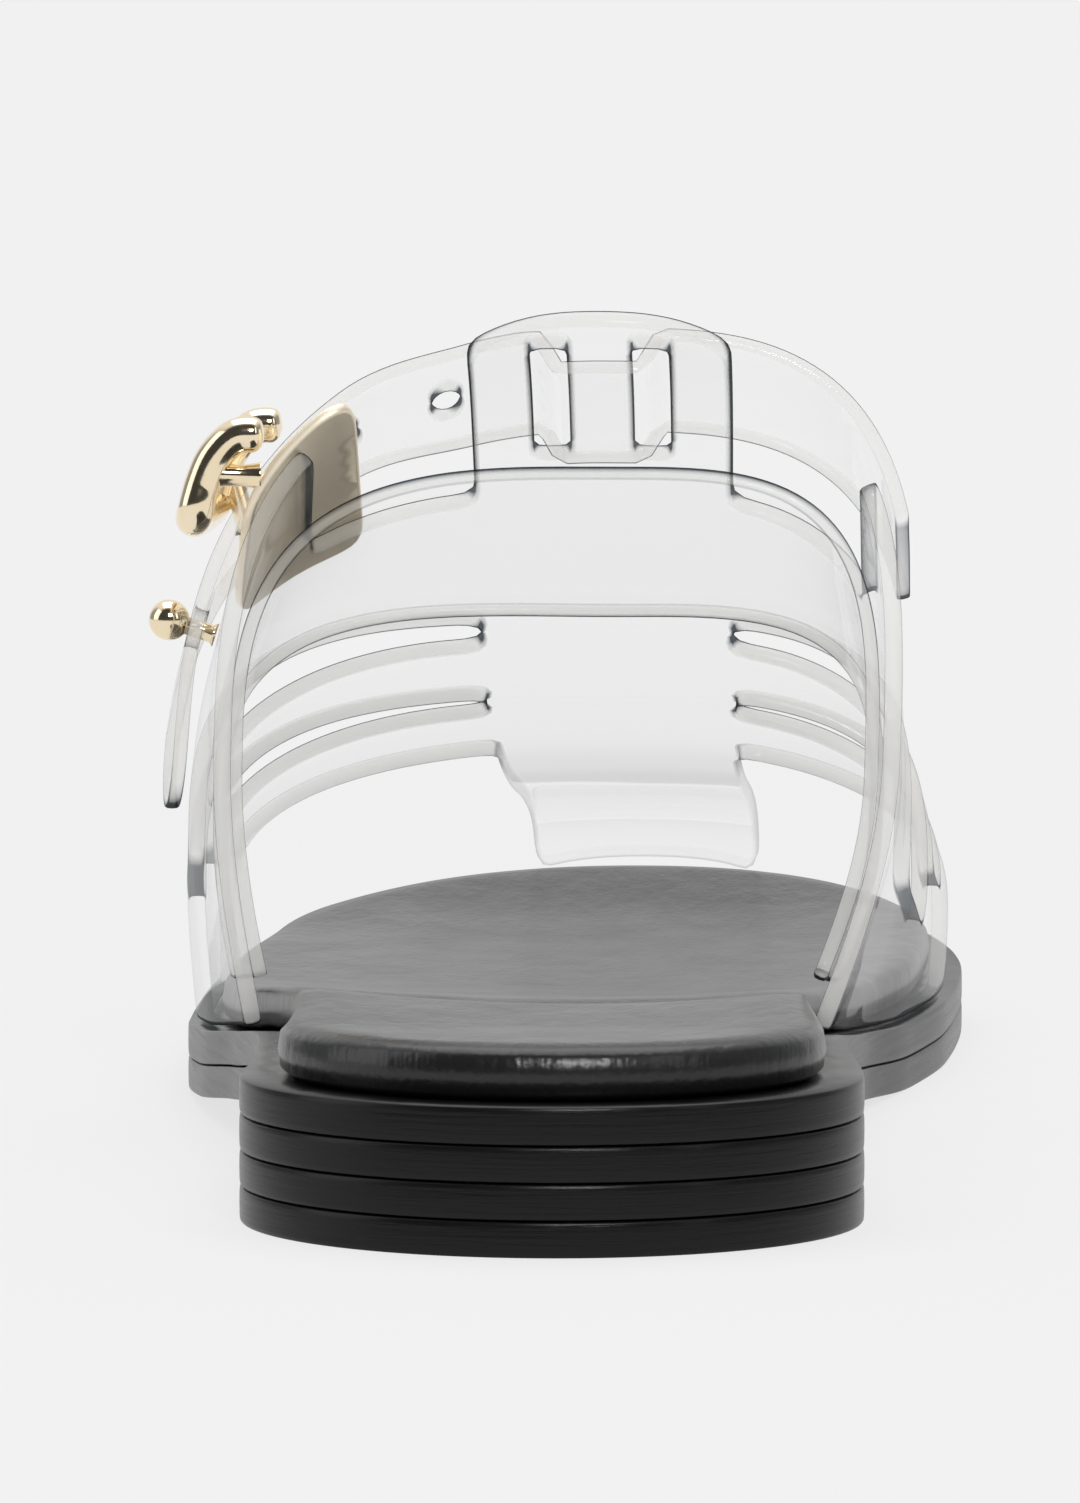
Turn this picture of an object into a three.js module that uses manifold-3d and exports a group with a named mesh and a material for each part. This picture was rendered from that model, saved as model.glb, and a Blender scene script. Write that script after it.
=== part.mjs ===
// Left sandal in millimetres: heel towards -Y, toe towards +Y, outer side towards -X, floor at z = 0.
// The origin is on the floor, under the middle of the whole sandal's box.
import * as THREE from "three";
import { mergeVertices } from "three/addons/utils/BufferGeometryUtils.js";
import Module from "manifold-3d";

// Driving sizes of the sole
const SOLE_LENGTH = 250;
const BALL_WIDTH = 92;
const HEEL_WIDTH = 66.5;
const HEEL_ROUND = 31;
const TOE_ROUND = 56;
const MIDSOLE_THICKNESS = 3.8;
const OUTSOLE_THICKNESS = 3.6;
const HEEL_LIFT_THICKNESS = 3.6;
const HEEL_BREAST = 64;
const TOE_SPRING = 5;
const LAYER_GAP = 0.2;

// Driving sizes of the padded footbed
const FOOTBED_INSET = 4;
const FOOTBED_TOE_INSET = 9;
const FOOTBED_THICKNESS = 5;
const FOOTBED_EDGE_RADIUS = 3.4;
const FOOTBED_DISH = 1.2;

// Driving sizes of the moulded upper
const INSTEP_HEIGHT = 86;
const CREST_LEAN = 2.4;
const WALL = 2;
const WALL_INSET = 1;
const WALL_SEAT_GAP = 0.6;
const REAR_EDGE = 86;
const SPINE_WIDTH = 29;
const TAB_END = 77;
const TAB_ARC = 7;
const QUARTER_TOP = 34;
const QUARTER_FRONT = 108;
const TOE_SETBACK = 4;
const FRONT_EDGE = 166;
const FRONT_SWEEP = 8;
const FRONT_CORNER = 4;
const OPENING_AHEAD = 7;
const OPENING_CORNER = 3;
const PIECE_GAP = 0.3;

// Driving sizes of the band inside the upper
const BAND_THICKNESS = 1.6;
const BAND_GAP = 0.5;
const BAND_CLEARANCE = 1.5;
const BAND_WIDTH = 26;
const BAND_FOOT_REAR = 90;
const BAND_FOOT_WIDTH = 18;

// Driving sizes of the strap
const STRAP_WIDTH = 16;
const STRAP_THICKNESS = 1.6;
const STRAP_CREST = 91;
const STRAP_SLANT = 14;
const STRAP_MEDIAL_REACH = 41;
const STRAP_TAIL_REACH = 68;
const STRAP_HOLE_PITCH = 11;
const STRAP_HOLE_COUNT = 4;
const STRAP_HOLE_WIDTH = 3;
const SLOT_CENTRE = 5.6;
const SLOT_WIDTH = 4;
const WEAVE_RUN = 2.8;
const SLOT_CLEARANCE = 1;

// Driving sizes of the metal pieces
const PLATE_LENGTH = 16;
const PLATE_WIDTH = 29;
const PLATE_THICKNESS = 1.2;
const PLATE_MIDDLE = 35;
const PLATE_FORWARD = 2;
const RIVET_DIAMETER = 3;
const RIVET_HEIGHT = 0.8;
const STUD_BALL = 4.6;
const STUD_ROUND = 50;
const STUD_POST = 2;
const FRAME_ROD = 4;
const FRAME_REACH = 9.6;
const FRAME_LIFT = 10.1;
const FRAME_MIDDLE = 40;
const FRAME_SIDE_CLEARANCE = 1.2;
const STEM_DIAMETER = 2.4;

const wasm = await Module();
wasm.setup();

// Half widths of the sole as shares of the ball width, before both ends are rounded off
const SOLE_ROWS = [
  { station: 0.0, lateral: 0.342, medial: 0.342 },
  { station: 0.12, lateral: 0.342, medial: 0.342 },
  { station: 0.24, lateral: 0.362, medial: 0.326 },
  { station: 0.35, lateral: 0.418, medial: 0.308 },
  { station: 0.46, lateral: 0.49, medial: 0.33 },
  { station: 0.56, lateral: 0.53, medial: 0.384 },
  { station: 0.66, lateral: 0.538, medial: 0.428 },
  { station: 0.76, lateral: 0.522, medial: 0.443 },
  { station: 0.88, lateral: 0.5, medial: 0.45 },
  { station: 1.0, lateral: 0.478, medial: 0.46 },
];

// Underside of the outsole as shares of the height that it has over the heel lifts
const UNDERSIDE_ROWS = [
  { station: 0.0, rise: 1.0, spring: 0 },
  { station: 0.25, rise: 0.95, spring: 0 },
  { station: 0.36, rise: 0.6, spring: 0 },
  { station: 0.48, rise: 0.17, spring: 0 },
  { station: 0.58, rise: 0.0, spring: 0 },
  { station: 0.76, rise: 0.0, spring: 0 },
  { station: 0.86, rise: 0.0, spring: 0.22 },
  { station: 0.94, rise: 0.0, spring: 0.6 },
  { station: 1.0, rise: 0.0, spring: 1.0 },
];

// Sections of the last: crest height as a share of the instep height, swell of the wall past its
// foot as a share of the ball width, fullness of the arch, and where the arch is widest
const LAST_ROWS = [
  { station: 0.28, crest: 1.13, swellOut: 0.05, swellIn: 0.075, fullOut: 2.8, fullIn: 3.3, waist: 0.42 },
  { station: 0.352, crest: 1.0, swellOut: 0.046, swellIn: 0.075, fullOut: 2.8, fullIn: 3.3, waist: 0.42 },
  { station: 0.416, crest: 0.866, swellOut: 0.034, swellIn: 0.066, fullOut: 2.9, fullIn: 3.2, waist: 0.42 },
  { station: 0.52, crest: 0.665, swellOut: 0.016, swellIn: 0.044, fullOut: 2.9, fullIn: 3.0, waist: 0.4 },
  { station: 0.6, crest: 0.535, swellOut: 0.006, swellIn: 0.022, fullOut: 2.8, fullIn: 2.8, waist: 0.38 },
  { station: 0.66, crest: 0.455, swellOut: 0, swellIn: 0.01, fullOut: 2.6, fullIn: 2.6, waist: 0.36 },
  { station: 0.76, crest: 0.385, swellOut: 0, swellIn: 0, fullOut: 2.5, fullIn: 2.5, waist: 0.34 },
  { station: 0.87, crest: 0.335, swellOut: 0, swellIn: 0, fullOut: 2.4, fullIn: 2.4, waist: 0.32 },
  { station: 0.94, crest: 0.29, swellOut: 0, swellIn: 0, fullOut: 2.3, fullIn: 2.3, waist: 0.3 },
  { station: 0.976, crest: 0.235, swellOut: 0, swellIn: 0, fullOut: 2.2, fullIn: 2.2, waist: 0.3 },
  { station: 1.0, crest: 0.125, swellOut: 0, swellIn: 0, fullOut: 2.2, fullIn: 2.2, waist: 0.3 },
];

// Slits on both sides of the spine: middle and width at the spine and far from it, as shares of the
// sole's length, and how far each runs round the arch as a share of the way to the sole
const SLIT_ROWS = [
  { middleAtSpine: 0.535, widthAtSpine: 0.022, middleAtEnd: 0.526, widthAtEnd: 0.06, reach: 0.8 },
  { middleAtSpine: 0.604, widthAtSpine: 0.016, middleAtEnd: 0.608, widthAtEnd: 0.034, reach: 0.76 },
];

// Smooth interpolation of one column of a table of stations
function column(rows, name, share) {
  const last = rows.length - 1;
  if (share <= rows[0].station) return rows[0][name];
  if (share >= rows[last].station) return rows[last][name];
  let i = 0;
  while (share > rows[i + 1].station) i++;
  const slope = (a, b) => (rows[b][name] - rows[a][name]) / (rows[b].station - rows[a].station);
  const run = rows[i + 1].station - rows[i].station;
  const middle = slope(i, i + 1);
  const tangent = (j) => {
    const before = slope(Math.max(j - 1, 0), Math.max(j, 1));
    const after = slope(Math.min(j, last - 1), Math.min(j + 1, last));
    return before * after <= 0 ? 0 : (2 * before * after) / (before + after);
  };
  const t = (share - rows[i].station) / run;
  const start = tangent(i) - middle;
  const end = middle - tangent(i + 1);
  const bend = t * (1 - t) * run * (start * (1 - t) + end * t);
  return rows[i][name] + middle * t * run + bend;
}

const smooth = (t) => THREE.MathUtils.smoothstep(t, 0, 1);
const mix = THREE.MathUtils.lerp;

// Half width of the sole at a distance from the heel, set in from its edge
function halfWidth(side, along, inset = 0, toeInset = inset) {
  const name = side < 0 ? "lateral" : "medial";
  const full = column(SOLE_ROWS, name, along / SOLE_LENGTH) * BALL_WIDTH;
  const heelFit = mix(HEEL_WIDTH / (2 * SOLE_ROWS[0][name] * BALL_WIDTH), 1, smooth(along / HEEL_BREAST));
  const heel = THREE.MathUtils.clamp((along - inset) / (HEEL_ROUND - inset), 0.008, 1);
  const toe = THREE.MathUtils.clamp((SOLE_LENGTH - toeInset - along) / (TOE_ROUND - toeInset), 0.008, 1);
  const heelCap = Math.sqrt(1 - (1 - heel) ** 2);
  const toeCap = (1 - (1 - toe) ** 2.2) ** (1 / 2.2);
  return (full * heelFit - inset) * heelCap * toeCap;
}

// Heights of the sole's layers at a distance from the heel
function underside(along) {
  const share = along / SOLE_LENGTH;
  const lifts = 2 * (HEEL_LIFT_THICKNESS + LAYER_GAP);
  return column(UNDERSIDE_ROWS, "rise", share) * lifts + column(UNDERSIDE_ROWS, "spring", share) * TOE_SPRING;
}
const outsoleTop = (along) => underside(along) + OUTSOLE_THICKNESS;
const midsoleBottom = (along) => outsoleTop(along) + LAYER_GAP;
const midsoleTop = (along) => midsoleBottom(along) + MIDSOLE_THICKNESS;
const place = (across, along, up) => new THREE.Vector3(across, along, up);

// A closed solid between two surfaces of the same grid; front holds the outward one
function closedSolid(columns, rows, front, back) {
  const vertices = [];
  for (const surface of [front, back]) {
    for (let i = 0; i <= columns; i++) {
      for (let j = 0; j <= rows; j++) {
        vertices.push(...surface(i / columns, j / rows).toArray());
      }
    }
  }
  const layer = (columns + 1) * (rows + 1);
  const at = (i, j, side) => side * layer + i * (rows + 1) + j;
  const faces = [];
  const quad = (a, b, c, d) => faces.push(a, b, c, a, c, d);
  for (let i = 0; i < columns; i++) {
    for (let j = 0; j < rows; j++) {
      quad(at(i, j, 0), at(i + 1, j, 0), at(i + 1, j + 1, 0), at(i, j + 1, 0));
      quad(at(i, j, 1), at(i, j + 1, 1), at(i + 1, j + 1, 1), at(i + 1, j, 1));
    }
    quad(at(i, 0, 1), at(i + 1, 0, 1), at(i + 1, 0, 0), at(i, 0, 0));
    quad(at(i, rows, 0), at(i + 1, rows, 0), at(i + 1, rows, 1), at(i, rows, 1));
  }
  for (let j = 0; j < rows; j++) {
    quad(at(0, j, 0), at(0, j + 1, 0), at(0, j + 1, 1), at(0, j, 1));
    quad(at(columns, j, 1), at(columns, j + 1, 1), at(columns, j + 1, 0), at(columns, j, 0));
  }
  return facingOut(vertices, faces);
}

// A closed solid whose faces point outwards
function facingOut(vertices, faces) {
  const build = (order) =>
    new wasm.Manifold(
      new wasm.Mesh({
        numProp: 3,
        vertProperties: new Float32Array(vertices),
        triVerts: new Uint32Array(order),
      }),
    );
  const solid = build(faces);
  if (solid.volume() > 0) return solid;
  const turned = faces.slice();
  for (let i = 0; i < turned.length; i += 3) {
    [turned[i + 1], turned[i + 2]] = [turned[i + 2], turned[i + 1]];
  }
  return build(turned);
}

// A closed solid from a closed geometry whose seams are merged
function solidOf(geometry) {
  const bare = geometry.clone();
  bare.deleteAttribute("normal");
  bare.deleteAttribute("uv");
  const merged = mergeVertices(bare, 1e-4);
  return facingOut(Array.from(merged.attributes.position.array), Array.from(merged.index.array));
}

function geometryOf(solid) {
  const mesh = solid.getMesh();
  const geometry = new THREE.BufferGeometry();
  geometry.setAttribute("position", new THREE.BufferAttribute(Float32Array.from(mesh.vertProperties), 3));
  geometry.setIndex(new THREE.BufferAttribute(Uint32Array.from(mesh.triVerts), 1));
  const flat = geometry.toNonIndexed();
  flat.computeVertexNormals();
  return flat;
}

// One layer of the sole between two heights, from one distance to another
function layer({ to = SOLE_LENGTH, inset = 0, toeInset = inset, top, bottom, stations = 34, across = 4 }) {
  const start = inset;
  const end = Math.min(to, SOLE_LENGTH - toeInset);
  const point = (height) => (u, v) => {
    const along = mix(start, end, (1 - Math.cos(Math.PI * u)) / 2);
    const side = v < 0.5 ? -1 : 1;
    const reach = Math.sin((Math.PI / 2) * Math.abs(2 * v - 1));
    const width = halfWidth(side, along, inset, toeInset);
    return place(side * width * reach, along, height(along, side * width * reach, width, start, end));
  };
  return closedSolid(stations, across, point(top), point(bottom));
}

// Top of the footbed: dished in the middle and rolled down at its edge
function footbedTop(along, across, width, start, end) {
  const toEdge = Math.min(width - Math.abs(across), along - start, end - along);
  const reach = THREE.MathUtils.clamp(toEdge / FOOTBED_EDGE_RADIUS, 0, 1);
  const roll = FOOTBED_EDGE_RADIUS * (1 - Math.sqrt(1 - (1 - reach) ** 2));
  const dish = FOOTBED_DISH * (1 - (across / Math.max(width, 1)) ** 2) * smooth(toEdge / HEEL_ROUND);
  return footbedBottom(along) + FOOTBED_THICKNESS - roll - dish;
}
const footbedBottom = (along) => midsoleTop(along) + LAYER_GAP;

// One section of the last, from the crest down one side to the sole, as points by length
function section(side, along) {
  const share = along / SOLE_LENGTH;
  const sideName = side < 0 ? "Out" : "In";
  const foot = halfWidth(side, along, WALL_INSET + WALL / 2);
  const widest = foot + column(LAST_ROWS, "swell" + sideName, share) * BALL_WIDTH;
  const bottom = midsoleTop(along) + WALL_SEAT_GAP;
  const crest = column(LAST_ROWS, "crest", share) * INSTEP_HEIGHT - WALL / 2;
  const waist = mix(bottom, crest, column(LAST_ROWS, "waist", share));
  const power = 2 / column(LAST_ROWS, "full" + sideName, share);
  const points = [];
  const STEPS = 24;
  for (let i = 0; i <= STEPS; i++) {
    const angle = (Math.PI / 2) * (i / STEPS);
    points.push([widest * Math.sin(angle) ** power, waist + (crest - waist) * Math.cos(angle) ** power]);
  }
  for (let i = 1; i <= STEPS / 2; i++) {
    const drop = i / (STEPS / 2);
    const across = foot + (widest - foot) * Math.cos((Math.PI / 2) * drop);
    points.push([across, mix(waist, bottom, drop)]);
  }
  const lengths = [0];
  for (let i = 1; i < points.length; i++) {
    const step = Math.hypot(points[i][0] - points[i - 1][0], points[i][1] - points[i - 1][1]);
    lengths.push(lengths[i - 1] + step);
  }
  return { points, lengths, total: lengths[lengths.length - 1] };
}

const sectionStore = new Map();
function storedSection(side, along) {
  const key = side + ":" + along.toFixed(4);
  if (!sectionStore.has(key)) sectionStore.set(key, section(side, along));
  return sectionStore.get(key);
}
const girth = (side, along) => storedSection(side, along).total;

// How far the arch leans inwards at a height, most at the instep and not at all over the toes
function leanAt(along, up) {
  const ahead = smooth((along - REAR_EDGE) / (FRONT_EDGE - REAR_EDGE));
  return (CREST_LEAN * (1 - ahead) * Math.max(up - midsoleTop(along), 0)) / INSTEP_HEIGHT;
}

// A point of the last's surface: distance from the heel, and length round the arch from the crest
function onLast(along, round) {
  const side = round < 0 ? -1 : 1;
  const { points, lengths } = storedSection(side, along);
  const length = Math.abs(round);
  let i = 1;
  while (i < lengths.length - 1 && lengths[i] < length) i++;
  const t = (length - lengths[i - 1]) / (lengths[i] - lengths[i - 1]);
  const across = mix(points[i - 1][0], points[i][0], t);
  const up = mix(points[i - 1][1], points[i][1], t);
  return place(side * across + leanAt(along, up), along, up);
}

// The surface's outward normal, from its neighbours on both sides
function normalAt(along, round) {
  const step = 1.5;
  const fore = Math.min(along + step, SOLE_LENGTH - 1);
  const side = Math.sign(round) || 1;
  const scaled = (d) => onLast(d, (round / girth(side, along)) * girth(side, d));
  const lengthwise = scaled(fore).sub(scaled(fore - 2 * step));
  const crosswise = onLast(along, round + step).sub(onLast(along, round - step));
  return crosswise.cross(lengthwise).normalize();
}

function lifted(along, round, offset) {
  return onLast(along, round).addScaledVector(normalAt(along, round), offset);
}

// A sheet on the last: route gives distance, length round and middle offset for each u and v
function sheet(columns, rows, thickness, route) {
  const face = (sign) => (u, v) => {
    const [along, round, offset = 0] = route(u, v);
    return lifted(along, round, offset + (sign * thickness) / 2);
  };
  return closedSolid(columns, rows, face(1), face(-1));
}

const CUT_DEPTH = 9;
const CUT_MARGIN = 3;
const PAST_FOOT = 5;
const SIDES = [-1, 1];
const spineHalf = SPINE_WIDTH / 2;
const bandRear = STRAP_CREST + STRAP_WIDTH / 2 + BAND_CLEARANCE;

// The whole wall over the last, from the tab's end to the toe
function wholeWall() {
  return sheet(31, 24, WALL, (u, v) => {
    const along = mix(TAB_END, SOLE_LENGTH - TOE_SETBACK, u);
    const share = 2 * v - 1;
    return [along, share * girth(Math.sign(share) || 1, along)];
  });
}

// What is taken off behind the rear edge on one side, up to the tab
function rearCut(side) {
  return sheet(5, 12, CUT_DEPTH, (u, v) => {
    const along = mix(TAB_END - CUT_MARGIN, REAR_EDGE, u);
    return [along, side * mix(spineHalf, girth(side, along) + PAST_FOOT, v)];
  });
}

// The tab's end is an arc, highest in the middle
function tabEndCut() {
  return sheet(2, 12, CUT_DEPTH, (u, v) => {
    const share = 2 * v - 1;
    const along = mix(TAB_END - CUT_MARGIN, TAB_END + TAB_ARC * Math.abs(share) ** 2.4, u);
    return [along, share * (spineHalf + CUT_MARGIN)];
  });
}

// The gap that the strap alone bridges, between tab and side wall
function strapGap(side) {
  return sheet(8, 8, CUT_DEPTH, (u, v) => {
    const round = mix(spineHalf, QUARTER_TOP, v);
    const front = mix(bandRear + OPENING_AHEAD, QUARTER_FRONT, smooth(v));
    const open = 1 - (1 - Math.min(v / 0.16, 1)) ** 2;
    const along = mix(REAR_EDGE - CUT_MARGIN, front - OPENING_CORNER * (1 - Math.sqrt(open)), u);
    return [along, side * round];
  });
}

// One slit, rounded at both ends and widening away from the spine
function slit(side, row) {
  return sheet(14, 2, CUT_DEPTH, (u, v) => {
    const reach = (1 - Math.cos(Math.PI * u)) / 2;
    const middle = mix(row.middleAtSpine, row.middleAtEnd, reach) * SOLE_LENGTH;
    const width = mix(row.widthAtSpine, row.widthAtEnd, smooth(reach)) * SOLE_LENGTH;
    const nearCap = Math.sqrt(1 - (1 - Math.min(reach / 0.08, 1)) ** 2);
    const farCap = Math.sqrt(1 - (1 - Math.min((1 - reach) / 0.16, 1)) ** 2);
    const along = middle + (v - 0.5) * width * Math.max(nearCap * farCap, 0.1);
    return [along, side * mix(spineHalf, row.reach * girth(side, middle), reach)];
  });
}

// The opening between the front strap and the toe on one side of the spine
function frontOpening(side) {
  return sheet(10, 10, CUT_DEPTH, (u, v) => {
    const near = smooth(Math.min(v / 0.12, 1));
    const rear = FRONT_EDGE + FRONT_SWEEP * v + FRONT_CORNER * (1 - near);
    const along = mix(rear, SOLE_LENGTH - TOE_SETBACK / 2, u);
    const round = mix(spineHalf, girth(side, along) + PAST_FOOT, v);
    return [along, side * round];
  });
}

function slotCut(side) {
  return sheet(2, 2, CUT_DEPTH, (u, v) => {
    const along = STRAP_CREST + (u - 0.5) * (STRAP_WIDTH + 2 * SLOT_CLEARANCE);
    return [along, side * SLOT_CENTRE + (v - 0.5) * SLOT_WIDTH];
  });
}

function cageSolid() {
  let solid = wholeWall().subtract(tabEndCut());
  for (const side of SIDES) {
    solid = solid.subtract(rearCut(side)).subtract(strapGap(side));
    solid = solid.subtract(frontOpening(side)).subtract(slotCut(side));
    for (const row of SLIT_ROWS) solid = solid.subtract(slit(side, row));
  }
  return solid;
}

// The second band, inside the wall, down to the footbed on both sides
function bandSolid() {
  const inside = -(WALL / 2 + BAND_GAP + BAND_THICKNESS / 2);
  return sheet(30, 3, BAND_THICKNESS, (u, v) => {
    const share = 2 * u - 1;
    const low = share * share;
    const rear = mix(bandRear, BAND_FOOT_REAR, low);
    const width = mix(BAND_WIDTH, BAND_FOOT_WIDTH, low);
    const along = rear + v * width;
    const side = Math.sign(share) || 1;
    return [along, share * (girth(side, along) - FOOTBED_THICKNESS), inside];
  });
}

// Middle line, height over the wall and reach of the strap
const onWall = WALL / 2 + PIECE_GAP + STRAP_THICKNESS / 2;
const onPlate = onWall + PLATE_THICKNESS + PIECE_GAP;
function strapMiddle(round) {
  return STRAP_CREST + STRAP_SLANT * smooth(-round / STRAP_TAIL_REACH);
}
function strapLift(round) {
  const weave = smooth((Math.abs(round) - SLOT_CENTRE) / WEAVE_RUN + 0.5);
  const overPlate = smooth((-round - spineHalf) / (PLATE_MIDDLE - PLATE_LENGTH / 2 - spineHalf));
  return mix(-onWall, onWall, weave) + (onPlate - onWall) * overPlate;
}

// The strap, thick across its own slope, with a round tip and holes
function strapSolid() {
  const weaveEnd = SLOT_CENTRE + WEAVE_RUN;
  const weaveStart = SLOT_CENTRE - WEAVE_RUN;
  const stops = [-STRAP_TAIL_REACH, -weaveEnd, -weaveStart, weaveStart, weaveEnd, STRAP_MEDIAL_REACH];
  const steps = [20, 6, 2, 6, 12];
  const rounds = [stops[0]];
  steps.forEach((number, k) => {
    for (let i = 1; i <= number; i++) rounds.push(mix(stops[k], stops[k + 1], i / number));
  });
  const count = rounds.length - 1;
  const face = (sign) => (u, v) => {
    const round = rounds[Math.round(u * count)];
    const slope = (strapLift(round + 0.1) - strapLift(round - 0.1)) / 0.2;
    const lean = Math.atan(slope);
    const tip = Math.min((round + STRAP_TAIL_REACH) / (STRAP_WIDTH / 2), 1);
    const half = (STRAP_WIDTH / 2) * Math.max(Math.sqrt(1 - (1 - tip) ** 2), 0.3);
    const along = strapMiddle(round) + (2 * v - 1) * half;
    const shift = (sign * STRAP_THICKNESS) / 2;
    return lifted(along, round - shift * Math.sin(lean), strapLift(round) + shift * Math.cos(lean));
  };
  let solid = closedSolid(count, 2, face(1), face(-1));
  for (let i = 0; i < STRAP_HOLE_COUNT; i++) {
    solid = solid.subtract(strapHole(i * STRAP_HOLE_PITCH - STUD_ROUND));
  }
  return solid;
}

// A frame of axes that stands on the surface: X round the arch, Y towards the toe, Z outwards
function standing(along, round, offset) {
  const out = normalAt(along, round);
  const fore = new THREE.Vector3(0, 1, 0).addScaledVector(out, -out.y).normalize();
  const over = new THREE.Vector3().crossVectors(fore, out);
  const matrix = new THREE.Matrix4().makeBasis(over, fore, out);
  return matrix.setPosition(lifted(along, round, offset));
}

function standingCylinder(diameter, height, along, round, offset, stretch = 1) {
  const post = new THREE.CylinderGeometry(diameter / 2, diameter / 2, height, 16);
  post.rotateX(Math.PI / 2).scale(1, stretch, 1).translate(0, 0, height / 2);
  return solidOf(post.applyMatrix4(standing(along, round, offset)));
}

function strapHole(round) {
  return standingCylinder(STRAP_HOLE_WIDTH, CUT_DEPTH, strapMiddle(round), round, 0, 1.4);
}

// The plate under the strap, its rivets, and the stud that stands on the wall in the strap's end hole
const plateFloor = WALL / 2 + PIECE_GAP;
const plateAlong = strapMiddle(-PLATE_MIDDLE) + PLATE_FORWARD;
function plateSolid() {
  return sheet(8, 4, PLATE_THICKNESS, (u, v) => {
    const edge = 2 * Math.abs(u - 0.5);
    const corner = 0.82 + 0.18 * Math.sqrt(1 - Math.max((edge - 0.75) / 0.25, 0) ** 2);
    const round = -PLATE_MIDDLE + (u - 0.5) * PLATE_LENGTH;
    const along = plateAlong + (v - 0.5) * PLATE_WIDTH * corner;
    return [along, round, plateFloor + PLATE_THICKNESS / 2];
  });
}

const rivetOffset = plateFloor + PLATE_THICKNESS + PIECE_GAP;
function rivet([shareAlong, shareRound]) {
  const along = plateAlong + shareAlong * (PLATE_WIDTH / 2 - RIVET_DIAMETER / 2);
  const round = -PLATE_MIDDLE + shareRound * (PLATE_LENGTH / 2 - RIVET_DIAMETER);
  return standingCylinder(RIVET_DIAMETER * 0.8, RIVET_HEIGHT, along, round, rivetOffset);
}

function studSolid() {
  const post = new THREE.Vector2(STUD_POST / 2, 0);
  const strapTop = onPlate + STRAP_THICKNESS / 2;
  const height = strapTop - plateFloor + PIECE_GAP + 0.45 * STUD_BALL;
  const profile = [new THREE.Vector2(0, 0), post];
  for (let i = 0; i <= 8; i++) {
    const angle = mix(-0.36, 0.5, i / 8) * Math.PI;
    const radius = (STUD_BALL / 2) * Math.cos(angle);
    profile.push(new THREE.Vector2(i === 8 ? 0 : radius, height + (STUD_BALL / 2) * Math.sin(angle)));
  }
  const lathe = new THREE.LatheGeometry(profile, 16);
  lathe.rotateX(Math.PI / 2);
  return solidOf(lathe.applyMatrix4(standing(strapMiddle(-STUD_ROUND), -STUD_ROUND, plateFloor)));
}

// A rod along a path, round in section, with flat ends
function rod(points, diameter) {
  const path = new THREE.CatmullRomCurve3(points, false, "centripetal");
  const sides = 8;
  const steps = points.length * 2;
  const frames = path.computeFrenetFrames(steps);
  const ring = (u, v) => {
    const i = Math.round(u * steps);
    const angle = 2 * Math.PI * v;
    const centre = path.getPointAt(u);
    centre.addScaledVector(frames.normals[i], (diameter / 2) * Math.cos(angle));
    return centre.addScaledVector(frames.binormals[i], (diameter / 2) * Math.sin(angle));
  };
  const vertices = [];
  const faces = [];
  for (let i = 0; i <= steps; i++) {
    for (let j = 0; j < sides; j++) vertices.push(...ring(i / steps, j / sides).toArray());
  }
  for (let i = 0; i < steps; i++) {
    for (let j = 0; j < sides; j++) {
      const a = i * sides + j;
      const b = i * sides + ((j + 1) % sides);
      const c = (i + 1) * sides + j;
      const d = (i + 1) * sides + ((j + 1) % sides);
      faces.push(a, c, b, b, c, d);
    }
  }
  for (const end of [0, steps]) {
    vertices.push(...path.getPointAt(end / steps).toArray());
    const centre = vertices.length / 3 - 1;
    for (let j = 0; j < sides; j++) {
      const a = end * sides + j;
      const b = end * sides + ((j + 1) % sides);
      faces.push(...(end ? [centre, b, a] : [centre, a, b]));
    }
  }
  return facingOut(vertices, faces);
}

// The buckle's bow: share of its reach up the arch, of its lift off the wall and of its half width
const FRAME_ROWS = [
  { up: 1.04, lift: 0.74, side: 1 },
  { up: 0.84, lift: 0.97, side: 1 },
  { up: 0.5, lift: 1.02, side: 1 },
  { up: 0.16, lift: 0.94, side: 1 },
  { up: -0.14, lift: 0.82, side: 1 },
  { up: -0.26, lift: 0.8, side: 0.6 },
];

// A bow over the strap, hooked at both ends, on a stem at each side of the strap
function frameSolid() {
  const origin = lifted(strapMiddle(-PLATE_MIDDLE), -FRAME_MIDDLE, 0);
  const normal = normalAt(origin.y, -FRAME_MIDDLE);
  const out = new THREE.Vector3(normal.x, 0, normal.z).normalize();
  const up = new THREE.Vector3(out.z, 0, -out.x);
  const halfBow = STRAP_WIDTH / 2 + FRAME_ROD / 2 + FRAME_SIDE_CLEARANCE;
  const at = (side, row) => {
    const point = origin.clone().addScaledVector(up, row.up * FRAME_REACH);
    point.y += side * row.side * halfBow;
    return point.addScaledVector(out, row.lift * FRAME_LIFT);
  };
  const rear = FRAME_ROWS.map((row) => at(-1, row));
  const front = FRAME_ROWS.map((row) => at(1, row)).reverse();
  let solid = rod([...rear, ...front], FRAME_ROD);
  for (const side of SIDES) {
    const footAlong = origin.y + side * halfBow;
    const foot = lifted(footAlong, 0.1 * FRAME_REACH - FRAME_MIDDLE, rivetOffset + STEM_DIAMETER / 4);
    const head = at(side, { up: 0.3, lift: 0.95, side: 1 });
    solid = solid.add(rod([foot, foot.clone().lerp(head, 0.5), head], STEM_DIAMETER));
  }
  return solid;
}

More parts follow.
